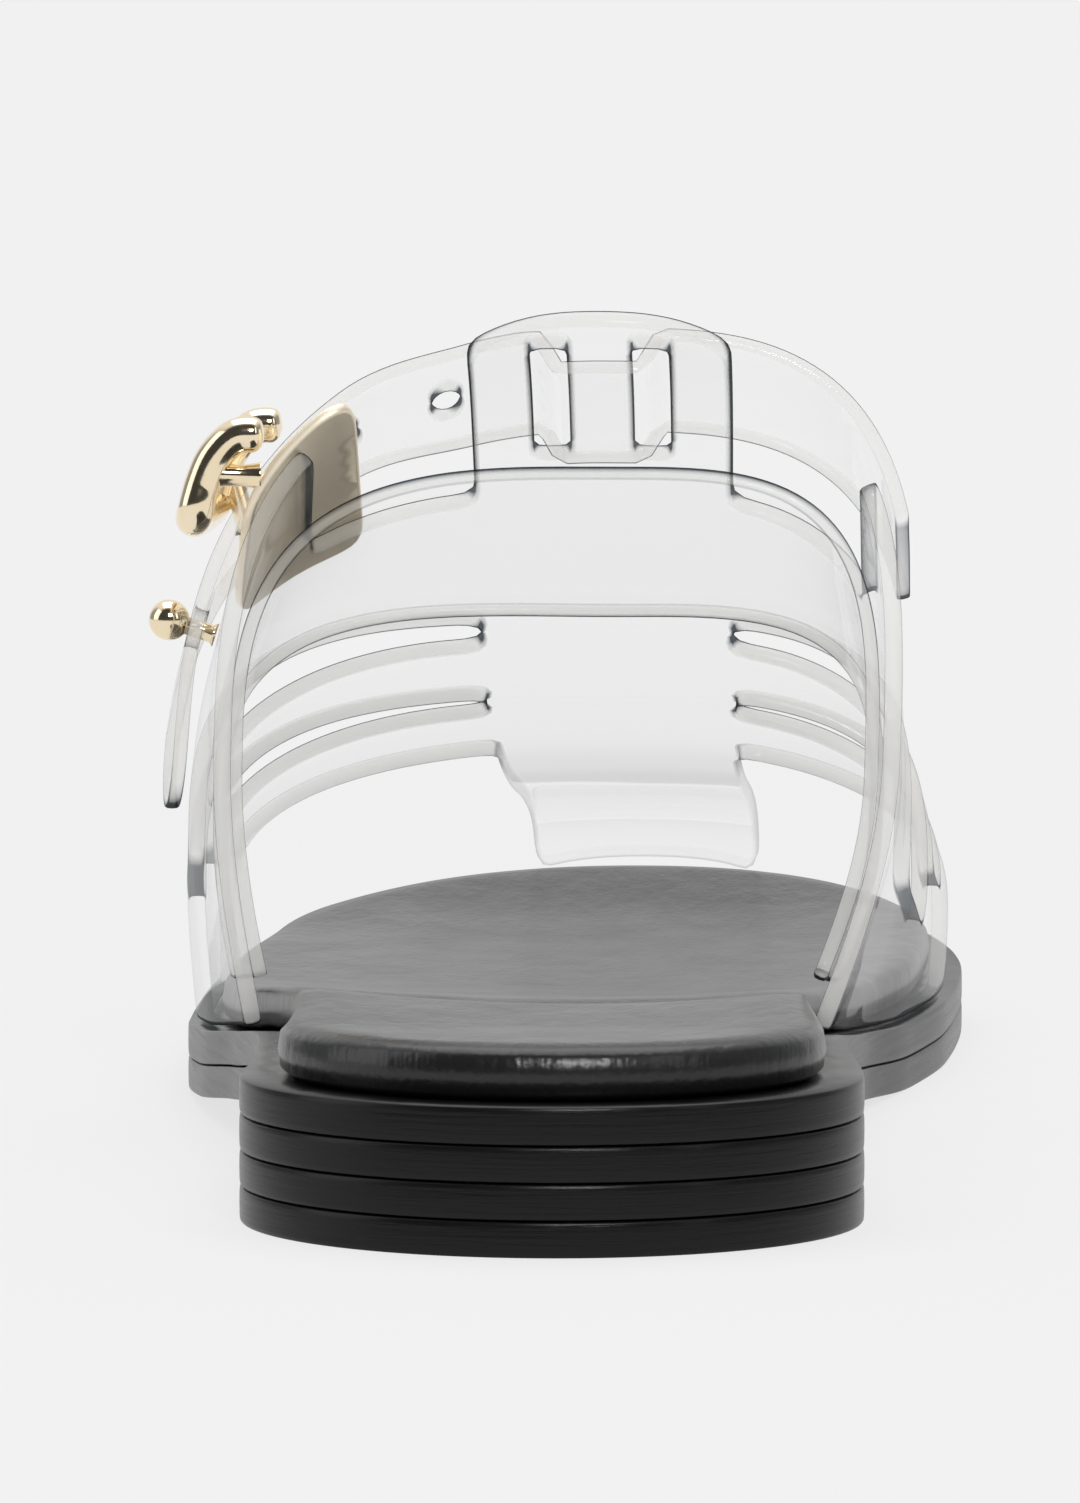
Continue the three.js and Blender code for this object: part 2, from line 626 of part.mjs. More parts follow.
// Finishes
const clearPlastic = () => new THREE.MeshStandardMaterial({ color: 0xe9ecee, roughness: 0.06, metalness: 0 });
const blackLeather = () => new THREE.MeshStandardMaterial({ color: 0x1a1a1c, roughness: 0.45, metalness: 0 });
const blackEdge = () => new THREE.MeshStandardMaterial({ color: 0x0c0c0d, roughness: 0.28, metalness: 0 });
const paleGold = () => new THREE.MeshStandardMaterial({ color: 0xd9b878, roughness: 0.14, metalness: 1 });

const sandal = new THREE.Group();
function addPiece(name, solid, material) {
  const mesh = new THREE.Mesh(geometryOf(solid), material);
  mesh.name = name;
  sandal.add(mesh);
}

const liftTop = (k) => k * (HEEL_LIFT_THICKNESS + LAYER_GAP) - LAYER_GAP;
const liftBottom = (k) => liftTop(k) - HEEL_LIFT_THICKNESS;
addPiece("midsole", layer({ top: midsoleTop, bottom: midsoleBottom }), blackEdge());
addPiece("outsole", layer({ top: outsoleTop, bottom: underside }), blackEdge());
const underHeel = (along) => Math.min(underside(along) - LAYER_GAP, liftTop(2));
addPiece(
  "heel_lift_upper",
  layer({ to: HEEL_BREAST, top: underHeel, bottom: () => liftBottom(2), stations: 18 }),
  blackEdge(),
);
addPiece(
  "heel_lift_lower",
  layer({ to: HEEL_BREAST, top: () => liftTop(1), bottom: () => liftBottom(1), stations: 18 }),
  blackEdge(),
);
addPiece(
  "footbed",
  layer({
    inset: FOOTBED_INSET,
    toeInset: FOOTBED_TOE_INSET,
    top: footbedTop,
    bottom: footbedBottom,
    stations: 28,
    across: 10,
  }),
  blackLeather(),
);
addPiece("cage", cageSolid(), clearPlastic());
addPiece("instep_band", bandSolid(), clearPlastic());
addPiece("buckle_strap", strapSolid(), clearPlastic());
addPiece("buckle_plate", plateSolid(), paleGold());
const RIVET_PLACES = { rivet_rear: [0.62, 0.8], rivet_front: [0.92, 0.3] };
for (const [name, spot] of Object.entries(RIVET_PLACES)) addPiece(name, rivet(spot), paleGold());
addPiece("ball_stud", studSolid(), paleGold());
addPiece("buckle_frame", frameSolid(), paleGold());

// The pieces are laid out from the back of the heel, and the origin goes under the middle of them all
const box = new THREE.Box3().setFromObject(sandal);
const middle = box.getCenter(new THREE.Vector3());
sandal.position.set(-middle.x, -middle.y, -box.min.z);
const standingSandal = new THREE.Group();
standingSandal.add(sandal);

export default standingSandal;
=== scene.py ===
import math

import bmesh
import bpy
import numpy as np
from mathutils import Matrix, Vector
from mathutils.geometry import delaunay_2d_cdt


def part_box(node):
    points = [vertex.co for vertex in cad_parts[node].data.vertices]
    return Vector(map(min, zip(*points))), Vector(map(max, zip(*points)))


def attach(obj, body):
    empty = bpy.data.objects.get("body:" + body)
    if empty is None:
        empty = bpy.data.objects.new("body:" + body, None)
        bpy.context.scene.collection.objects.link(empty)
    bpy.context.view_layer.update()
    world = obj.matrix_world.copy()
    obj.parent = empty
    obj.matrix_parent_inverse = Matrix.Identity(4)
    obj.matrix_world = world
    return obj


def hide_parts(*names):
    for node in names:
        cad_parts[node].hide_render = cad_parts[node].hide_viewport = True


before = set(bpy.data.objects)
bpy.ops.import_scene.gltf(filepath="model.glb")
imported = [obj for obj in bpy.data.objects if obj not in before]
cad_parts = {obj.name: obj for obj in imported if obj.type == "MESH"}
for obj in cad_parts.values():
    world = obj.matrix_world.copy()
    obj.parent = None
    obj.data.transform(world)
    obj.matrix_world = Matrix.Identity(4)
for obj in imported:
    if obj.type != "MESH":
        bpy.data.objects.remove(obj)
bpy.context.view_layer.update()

# Millimetres throughout; every piece is scaled to metres as it is made
MM = 0.001

# Sole
SOLE_LENGTH = 250.0
BALL_WIDTH = 92.0
HEEL_WIDTH = 66.5
HEEL_ROUND = 31.0
TOE_ROUND = 56.0
TOE_POWER = 2.2
MIDSOLE_THICKNESS = 3.8
OUTSOLE_THICKNESS = 3.6
HEEL_LIFT_THICKNESS = 3.6
HEEL_BREAST = 64.0
TOE_SPRING = 5.0
LAYER_GAP = 0.2

# Padded footbed
FOOTBED_INSET = 4.0
FOOTBED_TOE_INSET = 9.0
FOOTBED_THICKNESS = 5.0
FOOTBED_DISH = 1.2

# Moulded upper
INSTEP_HEIGHT = 86.0
CREST_LEAN = 2.4
WALL = 2.0
WALL_INSET = 1.0
WALL_SEAT_GAP = 0.6
REAR_EDGE = 86.0
SPINE_WIDTH = 29.0
TAB_END = 77.0
TAB_ARC = 7.0
TAB_ARC_POWER = 2.4
QUARTER_TOP = 34.0
QUARTER_FRONT = 108.0
TOE_SETBACK = 4.0
FRONT_EDGE = 166.0
FRONT_SWEEP = 8.0
OPENING_AHEAD = 7.0
PIECE_GAP = 0.3

# Band inside the upper
BAND_THICKNESS = 1.6
BAND_GAP = 0.5
BAND_CLEARANCE = 1.5
BAND_WIDTH = 26.0
BAND_FOOT_REAR = 90.0
BAND_FOOT_WIDTH = 18.0

# Strap
STRAP_WIDTH = 16.0
STRAP_THICKNESS = 1.6
STRAP_CREST = 91.0
STRAP_SLANT = 14.0
STRAP_MEDIAL_REACH = 41.0
STRAP_TAIL_REACH = 68.0
STRAP_HOLE_PITCH = 11.0
STRAP_HOLE_COUNT = 4
STRAP_HOLE_WIDTH = 3.0
STRAP_HOLE_STRETCH = 1.4
SLOT_CENTRE = 5.6
SLOT_WIDTH = 4.0
WEAVE_RUN = 2.8
SLOT_CLEARANCE = 1.0

# Metal pieces
PLATE_LENGTH = 16.0
PLATE_WIDTH = 29.0
PLATE_THICKNESS = 1.2
PLATE_MIDDLE = 35.0
PLATE_FORWARD = 2.0
RIVET_DIAMETER = 3.0
RIVET_HEIGHT = 0.8
STUD_BALL = 4.6
STUD_ROUND = 50.0
STUD_POST = 2.0
FRAME_ROD = 4.0
FRAME_REACH = 9.6
FRAME_LIFT = 10.1
FRAME_MIDDLE = 40.0
FRAME_SIDE_CLEARANCE = 1.2
STEM_DIAMETER = 2.4

# Station, outer and inner half width of the sole as shares of length and ball width
SOLE_COLUMNS = ("station", "lateral", "medial")
SOLE_ROWS = (
    (0.00, 0.342, 0.342),
    (0.12, 0.342, 0.342),
    (0.24, 0.362, 0.326),
    (0.35, 0.418, 0.308),
    (0.46, 0.490, 0.330),
    (0.56, 0.530, 0.384),
    (0.66, 0.538, 0.428),
    (0.76, 0.522, 0.443),
    (0.88, 0.500, 0.450),
    (1.00, 0.478, 0.460),
)

# Underside: share of the height of the heel lifts, and share of the toe spring
UNDERSIDE_COLUMNS = ("station", "rise", "spring")
UNDERSIDE_ROWS = (
    (0.00, 1.00, 0.00),
    (0.25, 0.95, 0.00),
    (0.36, 0.60, 0.00),
    (0.48, 0.17, 0.00),
    (0.58, 0.00, 0.00),
    (0.76, 0.00, 0.00),
    (0.86, 0.00, 0.22),
    (0.94, 0.00, 0.60),
    (1.00, 0.00, 1.00),
)

# Sections of the last: crest as a share of the instep's height, swell past the sole as a share of the ball's
# width, fullness as the power of the curve, and waist as the share of the height where it is widest
LAST_COLUMNS = ("station", "crest", "swell_out", "swell_in", "full_out", "full_in", "waist")
LAST_ROWS = (
    (0.280, 1.130, 0.050, 0.075, 2.8, 3.3, 0.42),
    (0.352, 1.000, 0.046, 0.075, 2.8, 3.3, 0.42),
    (0.416, 0.866, 0.034, 0.066, 2.9, 3.2, 0.42),
    (0.520, 0.665, 0.016, 0.044, 2.9, 3.0, 0.40),
    (0.600, 0.535, 0.006, 0.022, 2.8, 2.8, 0.38),
    (0.660, 0.455, 0.000, 0.010, 2.6, 2.6, 0.36),
    (0.760, 0.385, 0.000, 0.000, 2.5, 2.5, 0.34),
    (0.870, 0.335, 0.000, 0.000, 2.4, 2.4, 0.32),
    (0.940, 0.290, 0.000, 0.000, 2.3, 2.3, 0.30),
    (0.976, 0.235, 0.000, 0.000, 2.2, 2.2, 0.30),
    (1.000, 0.125, 0.000, 0.000, 2.2, 2.2, 0.30),
)

# Slits: middle and width at the spine, middle and width at the far end, all as shares of the sole's length,
# and the reach as a share of the girth
SLIT_ROWS = (
    (0.535, 0.022, 0.526, 0.060, 0.80),
    (0.604, 0.016, 0.608, 0.034, 0.76),
)

SIDES = (-1, 1)
SPINE_HALF = SPINE_WIDTH / 2
BAND_REAR = STRAP_CREST + STRAP_WIDTH / 2 + BAND_CLEARANCE


def mix(a, b, t):
    return a + (b - a) * t


def clamp(value, low, high):
    return max(low, min(high, value))


def smooth(t):
    t = clamp(t, 0.0, 1.0)
    return t * t * (3 - 2 * t)


def column(rows, names, name, share):
    """Smooth interpolation of one column of a table of stations."""
    k = names.index(name)
    last = len(rows) - 1
    if share <= rows[0][0]:
        return rows[0][k]
    if share >= rows[last][0]:
        return rows[last][k]
    i = 0
    while share > rows[i + 1][0]:
        i += 1

    def slope(a, b):
        return (rows[b][k] - rows[a][k]) / (rows[b][0] - rows[a][0])

    def tangent(j):
        before = slope(max(j - 1, 0), max(j, 1))
        after = slope(min(j, last - 1), min(j + 1, last))
        return 0.0 if before * after <= 0 else 2 * before * after / (before + after)

    run = rows[i + 1][0] - rows[i][0]
    middle = slope(i, i + 1)
    t = (share - rows[i][0]) / run
    bend = (tangent(i) - middle) * (1 - t) + (middle - tangent(i + 1)) * t
    return rows[i][k] + middle * t * run + t * (1 - t) * run * bend


def half_width(side, along, inset=0.0, toe_inset=None):
    toe_inset = inset if toe_inset is None else toe_inset
    name = "lateral" if side < 0 else "medial"
    full = column(SOLE_ROWS, SOLE_COLUMNS, name, along / SOLE_LENGTH) * BALL_WIDTH
    start = SOLE_ROWS[0][SOLE_COLUMNS.index(name)] * BALL_WIDTH
    heel_fit = mix(HEEL_WIDTH / (2 * start), 1.0, smooth(along / HEEL_BREAST))
    heel = clamp((along - inset) / (HEEL_ROUND - inset), 0.0, 1.0)
    toe = clamp((SOLE_LENGTH - toe_inset - along) / (TOE_ROUND - toe_inset), 0.0, 1.0)
    heel_cap = math.sqrt(1 - (1 - heel) ** 2)
    toe_cap = (1 - (1 - toe) ** TOE_POWER) ** (1 / TOE_POWER)
    return (full * heel_fit - inset) * heel_cap * toe_cap


# The layout's origin is at the back of the heel on the sole's middle line
BOX_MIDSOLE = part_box("midsole")
INNER_REACH = max(half_width(1, SOLE_LENGTH * i / 500) for i in range(501))
SHIFT = Vector((BOX_MIDSOLE[1][0] / MM - INNER_REACH, BOX_MIDSOLE[0][1] / MM, 0.0))


def underside(along):
    share = along / SOLE_LENGTH
    lifts = 2 * (HEEL_LIFT_THICKNESS + LAYER_GAP)
    rise = column(UNDERSIDE_ROWS, UNDERSIDE_COLUMNS, "rise", share) * lifts
    return rise + column(UNDERSIDE_ROWS, UNDERSIDE_COLUMNS, "spring", share) * TOE_SPRING


def outsole_top(along):
    return underside(along) + OUTSOLE_THICKNESS


def midsole_bottom(along):
    return outsole_top(along) + LAYER_GAP


def midsole_top(along):
    return midsole_bottom(along) + MIDSOLE_THICKNESS


def footbed_bottom(along):
    return midsole_top(along) + LAYER_GAP


SECTION_STEPS = 40
section_store = {}


def section(side, along):
    """One side of a section of the last, from the crest down to the sole, by length."""
    key = (side, round(along, 3))
    if key in section_store:
        return section_store[key]
    share = along / SOLE_LENGTH
    way = "out" if side < 0 else "in"
    swell = column(LAST_ROWS, LAST_COLUMNS, "swell_" + way, share)
    foot = half_width(side, along, WALL_INSET + WALL / 2)
    widest = foot + swell * BALL_WIDTH
    bottom = midsole_top(along) + WALL_SEAT_GAP
    crest = column(LAST_ROWS, LAST_COLUMNS, "crest", share) * INSTEP_HEIGHT - WALL / 2
    waist = mix(bottom, crest, column(LAST_ROWS, LAST_COLUMNS, "waist", share))
    power = 2 / column(LAST_ROWS, LAST_COLUMNS, "full_" + way, share)
    angles = np.linspace(0.0, math.pi / 2, SECTION_STEPS + 1)
    across = widest * np.sin(angles) ** power
    up = waist + (crest - waist) * np.clip(np.cos(angles), 0.0, 1.0) ** power
    drop = np.linspace(0.0, 1.0, SECTION_STEPS // 2 + 1)[1:]
    across = np.concatenate([across, foot + (widest - foot) * np.cos(math.pi / 2 * drop)])
    up = np.concatenate([up, waist + (bottom - waist) * drop])
    lengths = np.concatenate([[0.0], np.cumsum(np.hypot(np.diff(across), np.diff(up)))])
    section_store[key] = (across, up, lengths)
    return section_store[key]


def girth(side, along):
    return float(section(side, along)[2][-1])


def lean_at(along, z):
    """How far the arch leans inwards, most at the instep and not at all over the toes."""
    ahead = smooth((along - REAR_EDGE) / (FRONT_EDGE - REAR_EDGE))
    return CREST_LEAN * (1 - ahead) * max(z - midsole_top(along), 0.0) / INSTEP_HEIGHT


def on_last(along, around):
    side = -1 if around < 0 else 1
    across, up, lengths = section(side, along)
    length = abs(around)
    i = int(clamp(np.searchsorted(lengths, length), 1, len(lengths) - 1))
    t = (length - lengths[i - 1]) / (lengths[i] - lengths[i - 1])
    x = mix(across[i - 1], across[i], t)
    z = mix(up[i - 1], up[i], t)
    return Vector((side * x + lean_at(along, z), along, z))


def normal_at(along, around):
    step = 1.5
    fore = min(along + step, SOLE_LENGTH - 1)
    side = -1 if around < 0 else 1
    share = around / girth(side, along)
    front = on_last(fore, share * girth(side, fore))
    back = on_last(fore - 2 * step, share * girth(side, fore - 2 * step))
    crosswise = on_last(along, around + step) - on_last(along, around - step)
    return crosswise.cross(front - back).normalized()


def lifted(along, around, offset):
    return on_last(along, around) + normal_at(along, around) * offset


# Outlines, in the plane of length round the arch and distance from the heel


FINE_SPACING = 0.35
FEWEST_POINTS = 8


def resampled(points, spacing):
    """The closed outline with its points evenly spaced."""
    p = np.array(points, dtype=float)
    p = np.vstack([p, p[:1]])
    lengths = np.concatenate([[0.0], np.cumsum(np.hypot(*np.diff(p, axis=0).T))])
    count = max(FEWEST_POINTS, int(round(lengths[-1] / spacing)))
    at = np.linspace(0.0, lengths[-1], count, endpoint=False)
    return np.column_stack([np.interp(at, lengths, p[:, k]) for k in (0, 1)])


def softened(points, radius, spacing):
    """The outline with its corners rounded."""
    fine = resampled(points, FINE_SPACING)
    reach = max(1, int(round(radius / FINE_SPACING)))
    weights = np.ones(2 * reach + 1) / (2 * reach + 1)
    for k in (0, 1):
        for _ in range(2):
            wrapped = np.concatenate([fine[-reach:, k], fine[:, k], fine[:reach, k]])
            fine[:, k] = np.convolve(wrapped, weights, mode="valid")
    return resampled(fine, spacing)


def moved_in(loop, distance):
    """Each point moved to the left of its way round, so a loop that runs anticlockwise shrinks."""
    ahead = np.roll(loop, -1, axis=0) - np.roll(loop, 1, axis=0)
    ahead /= np.maximum(np.hypot(ahead[:, 0], ahead[:, 1]), 1e-9)[:, None]
    left = np.column_stack([-ahead[:, 1], ahead[:, 0]])
    return loop + left * distance


def area(loop):
    x, y = loop[:, 0], loop[:, 1]
    return 0.5 * float(np.sum(x * np.roll(y, -1) - y * np.roll(x, -1)))


def inside(points, loop):
    x, y = points[:, 0][:, None], points[:, 1][:, None]
    x0, y0 = loop[:, 0][None], loop[:, 1][None]
    x1, y1 = np.roll(loop[:, 0], -1)[None], np.roll(loop[:, 1], -1)[None]
    crossing = (y0 > y) != (y1 > y)
    with np.errstate(divide="ignore", invalid="ignore"):
        at = x0 + (y - y0) / (y1 - y0) * (x1 - x0)
    return np.sum(crossing & (x < at), axis=1) % 2 == 1


def nearest(points, loop):
    return np.sqrt(np.min(np.sum((points[:, None] - loop[None]) ** 2, axis=2), axis=1))


def within(points, loops):
    """Which of the points lie inside the first loop and outside all the others."""
    keep = inside(points, loops[0])
    for loop in loops[1:]:
        keep &= ~inside(points, loop)
    return keep


# Steps of a sheet's rounded rim, and the power that makes it squarer than a half circle
RIM_STEPS = 5
RIM_POWER = 0.6
# How far beside the rim its outward direction is taken, in millimetres
RIM_PROBE = 0.3
# Distance of the lattice's rows, and of its points from the outline, as shares of the grid
ROW_SHARE = 0.87
EDGE_SHARE = 0.55
MERGE_WITHIN = 1e-5


def sheet_piece(name, outline, holes, grid, thickness, edge, lift):
    """A closed sheet with rounded edges: lift(x, y, t) gives the point t above its middle."""
    outer = outline if area(outline) > 0 else outline[::-1]
    loops = [moved_in(outer, edge)]
    for hole in holes:
        turned = hole if area(hole) < 0 else hole[::-1]
        loops.append(moved_in(turned, edge))
    low, high = loops[0].min(axis=0), loops[0].max(axis=0)
    xs = np.arange(low[0] + grid / 2, high[0], grid)
    ys = np.arange(low[1] + grid / 2, high[1], grid * ROW_SHARE)
    lattice = []
    for row, y in enumerate(ys):
        shift = grid / 2 if row % 2 else 0.0
        lattice.append(np.column_stack([xs + shift, np.full(len(xs), y)]))
    lattice = np.vstack(lattice)
    lattice = lattice[within(lattice, loops)]
    rims = np.vstack(loops)
    lattice = lattice[nearest(lattice, rims) > EDGE_SHARE * grid]
    points = np.vstack([rims, lattice])
    links = []
    start = 0
    for loop in loops:
        links += [(start + i, start + (i + 1) % len(loop)) for i in range(len(loop))]
        start += len(loop)
    flat, _, triangles = delaunay_2d_cdt([Vector(p) for p in points], links, [], 0, MERGE_WITHIN)[:3]
    flat = np.array([(v.x, v.y) for v in flat])
    centres = np.array([flat[list(t)].mean(axis=0) for t in triangles])
    triangles = [t for t, keep in zip(triangles, within(centres, loops)) if keep]
    return closed_sheet(name, flat, triangles, thickness, edge, lift)


def closed_sheet(name, flat, triangles, thickness, edge, lift):
    """Top and bottom of the sheet joined round every free edge by a rounded rim."""
    edge_use = {}
    for t in triangles:
        for a, b in ((t[0], t[1]), (t[1], t[2]), (t[2], t[0])):
            edge_use[(a, b)] = edge_use.get((a, b), 0) + 1
    free = [(a, b) for a, b in edge_use if (b, a) not in edge_use]
    outward = {}
    for a, b in free:
        d = flat[b] - flat[a]
        n = np.array([d[1], -d[0]]) / max(np.hypot(*d), 1e-9)
        for v in (a, b):
            outward[v] = outward.get(v, np.zeros(2)) + n
    vertices = []
    rim = []
    index = {}
    used = sorted({v for t in triangles for v in t})
    for sign, key in ((1, "top"), (-1, "bottom")):
        for v in used:
            index[(key, v)] = len(vertices)
            vertices.append(lift(flat[v][0], flat[v][1], sign * thickness / 2))
            rim.append(0.0)
    for v, n in outward.items():
        n = n / max(np.hypot(*n), 1e-9)
        x, y = flat[v]
        middle = lift(x, y, 0.0)
        away = (lift(x + RIM_PROBE * n[0], y + RIM_PROBE * n[1], 0.0) - middle).normalized()
        up = (lift(x, y, thickness / 2) - lift(x, y, -thickness / 2)) / 2
        for k in range(1, RIM_STEPS + 1):
            angle = math.pi * (0.5 - k / (RIM_STEPS + 1))
            out = edge * abs(math.cos(angle)) ** RIM_POWER
            height = math.copysign(abs(math.sin(angle)) ** RIM_POWER, math.sin(angle))
            index[(k, v)] = len(vertices)
            vertices.append(middle + away * out + up * height)
            rim.append(1.0)
    faces = []
    for t in triangles:
        faces.append(tuple(index[("top", v)] for v in t))
        faces.append(tuple(index[("bottom", v)] for v in reversed(t)))
    ring = ["top"] + list(range(1, RIM_STEPS + 1)) + ["bottom"]
    for a, b in free:
        for k, below in zip(ring, ring[1:]):
            faces.append((index[(k, b)], index[(k, a)], index[(below, a)], index[(below, b)]))
    return mesh_piece(name, vertices, faces, rim)


def mesh_piece(name, vertices, faces, rim=None):
    """A smooth mesh object from points in millimetres of the layout."""
    mesh = bpy.data.meshes.new(name)
    mesh.from_pydata([(Vector(v) + SHIFT) * MM for v in vertices], [], faces)
    mesh.validate()
    if rim is not None:
        mesh.attributes.new("rim", "FLOAT", "POINT").data.foreach_set("value", rim)
    turned_out(mesh)
    mesh.shade_smooth()
    piece = bpy.data.objects.new(name, mesh)
    bpy.context.scene.collection.objects.link(piece)
    return piece


def turned_out(mesh):
    """All faces of a closed mesh turned outwards."""
    work = bmesh.new()
    work.from_mesh(mesh)
    bmesh.ops.recalc_face_normals(work, faces=work.faces)
    if work.calc_volume(signed=True) < 0:
        bmesh.ops.reverse_faces(work, faces=work.faces)
    work.to_mesh(mesh)
    work.free()


def marked(piece, name):
    """An attribute of one on every point, which the material reads."""
    attribute = piece.data.attributes.new(name, "FLOAT", "POINT")
    attribute.data.foreach_set("value", [1.0] * len(piece.data.vertices))


def own(piece, slot, *nodes):
    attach(piece, "root")
    if nodes:
        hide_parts(*nodes)


# Sole layers

LAYER_EDGE = 0.16


def sole_outline(inset=0.0, toe_inset=0.0, until=SOLE_LENGTH, spacing=2.0):
    end = min(until, SOLE_LENGTH - toe_inset)
    steps = 160
    alongs = [mix(inset, end, (1 - math.cos(math.pi * i / steps)) / 2) for i in range(steps + 1)]
    right = [(half_width(1, a, inset, toe_inset), a) for a in alongs]
    left = [(-half_width(-1, a, inset, toe_inset), a) for a in reversed(alongs)]
    return resampled(right + left, spacing)


def sole_layer(name, node, bottom, top, until=SOLE_LENGTH):
    """A layer between two heights that follow the length, as a sheet with a thickness of one."""
    def lift(x, y, t):
        low, high = bottom(y), top(y)
        return Vector((x, y, (low + high) / 2 + t * (high - low)))

    piece = sheet_piece(name, sole_outline(until=until), [], 5.0, 1.0, LAYER_EDGE, lift)
    own(piece, "edge_leather", node)
    return piece


def lift_top(k):
    return k * (HEEL_LIFT_THICKNESS + LAYER_GAP) - LAYER_GAP


def make_sole():
    def under_heel(along):
        return min(underside(along) - LAYER_GAP, lift_top(2))

    return [
        sole_layer("midsole_edge", "midsole", midsole_bottom, midsole_top),
        sole_layer("outsole_edge", "outsole", underside, outsole_top),
        sole_layer("heel_stack_upper", "heel_lift_upper",
                   lambda along: lift_top(2) - HEEL_LIFT_THICKNESS, under_heel, HEEL_BREAST),
        sole_layer("heel_stack_lower", "heel_lift_lower",
                   lambda along: 0.0, lambda along: lift_top(1), HEEL_BREAST),
    ]


# Padded footbed

PAD_EDGE = 2.9
# The heel pad ends in a curve, further forward by PAD_BOW at PAD_BOW_HALF to each side of the middle
HEEL_PAD_END = 58.0
PAD_BOW = 5.0
PAD_BOW_HALF = 30.0
PAD_STEP_HEIGHT = 0.55
PAD_STEP_RUN = 7.0
PAD_CREASE_DEPTH = 0.5
PAD_CREASE_AHEAD = 3.5
PAD_CREASE_WIDTH = 2.4


def footbed_swell(x, y):
    """Soft dish of the footbed and the shallow step at the end of the heel pad."""
    side = -1 if x < 0 else 1
    width = max(half_width(side, clamp(y, 5, SOLE_LENGTH - 10), FOOTBED_INSET, FOOTBED_TOE_INSET), 1.0)
    share = clamp(abs(x) / width, 0.0, 1.0)
    to_end = min(y - FOOTBED_INSET, SOLE_LENGTH - FOOTBED_TOE_INSET - y)
    dish = -FOOTBED_DISH * (1 - share ** 2) * smooth(to_end / HEEL_ROUND)
    past = y - (HEEL_PAD_END + PAD_BOW * (x / PAD_BOW_HALF) ** 2)
    step = PAD_STEP_HEIGHT * (1 - smooth(past / PAD_STEP_RUN + 0.5))
    fall = math.exp(-((past - PAD_CREASE_AHEAD) / PAD_CREASE_WIDTH) ** 2)
    crease = -PAD_CREASE_DEPTH * fall * (1 - 0.4 * share)
    return dish + (step + crease) * smooth((1 - share) * 7)


def make_footbed():
    def lift(x, y, t):
        low = footbed_bottom(y)
        middle = low + FOOTBED_THICKNESS / 2
        extra = footbed_swell(x, y) if t > 0 else 0.0
        return Vector((x, y, middle + t + extra))

    outline = sole_outline(FOOTBED_INSET, FOOTBED_TOE_INSET, spacing=1.5)
    piece = sheet_piece("padded_footbed", outline, [], 2.2, FOOTBED_THICKNESS, PAD_EDGE, lift)
    own(piece, "footbed_leather", "footbed")
    return piece


# Clear upper

EDGE_ROUND = 0.75
BAND_EDGE = 0.7
STRAP_EDGE = 0.55


def cage_outline():
    """Half of the cage's rear end, from the tab's middle to the side wall's rear edge."""
    half = []
    for i in range(13):
        r = SPINE_HALF * i / 12
        half.append((r, TAB_END + TAB_ARC * (r / (SPINE_HALF + 3)) ** TAB_ARC_POWER))
    opening = BAND_REAR + OPENING_AHEAD
    half.append((SPINE_HALF, opening))
    for i in range(1, 9):
        v = i / 8
        half.append((mix(SPINE_HALF, QUARTER_TOP, v), mix(opening, QUARTER_FRONT, smooth(v))))
    half.append((QUARTER_TOP, REAR_EDGE))
    return half


def side_path(side):
    """One side of the cage's outline, from the tab round the wall's foot to the spine's front end."""
    path = [(side * r, a) for r, a in cage_outline()]
    path.append((side * girth(side, REAR_EDGE), REAR_EDGE))
    front_foot = FRONT_EDGE + FRONT_SWEEP
    for i in range(1, 41):
        along = mix(REAR_EDGE, front_foot, i / 40)
        path.append((side * girth(side, along), along))
    for i in range(1, 21):
        v = 1 - i / 20
        reach = mix(SPINE_HALF, girth(side, FRONT_EDGE + FRONT_SWEEP * v), v)
        path.append((side * reach, FRONT_EDGE + FRONT_SWEEP * v))
    end = SOLE_LENGTH - TOE_SETBACK
    path.append((side * SPINE_HALF, end))
    path.append((0.0, end))
    return path


def slit_loop(side, row):
    middle, spine_width, far, end_width, reach = (*(SOLE_LENGTH * v for v in row[:4]), row[4])
    rear, front = [], []
    steps = 24
    for i in range(steps + 1):
        u = i / steps
        centre = mix(middle, far, u)
        width = mix(spine_width, end_width, smooth(u))
        around = side * mix(SPINE_HALF, reach * girth(side, centre), u)
        rear.append((around, centre - width / 2))
        front.append((around, centre + width / 2))
    return softened(rear + front[::-1], 1.6, 1.2)


def slot_loop(side):
    half_run = STRAP_WIDTH / 2 + SLOT_CLEARANCE
    corners = [(-0.5, -1), (0.5, -1), (0.5, 1), (-0.5, 1)]
    loop = [(side * SLOT_CENTRE + x * SLOT_WIDTH, STRAP_CREST + y * half_run) for x, y in corners]
    return softened(loop, 0.7, 0.9)


def make_cage():
    right = side_path(1)
    left = side_path(-1)
    outline = softened(right + left[::-1], 1.3, 1.3)
    holes = [slot_loop(side) for side in SIDES]
    holes += [slit_loop(side, row) for side in SIDES for row in SLIT_ROWS]

    def lift(x, y, t):
        return lifted(y, x, t)

    piece = sheet_piece("moulded_cage", outline, holes, 1.9, WALL, EDGE_ROUND, lift)
    own(piece, "clear_plastic", "cage")
    return piece


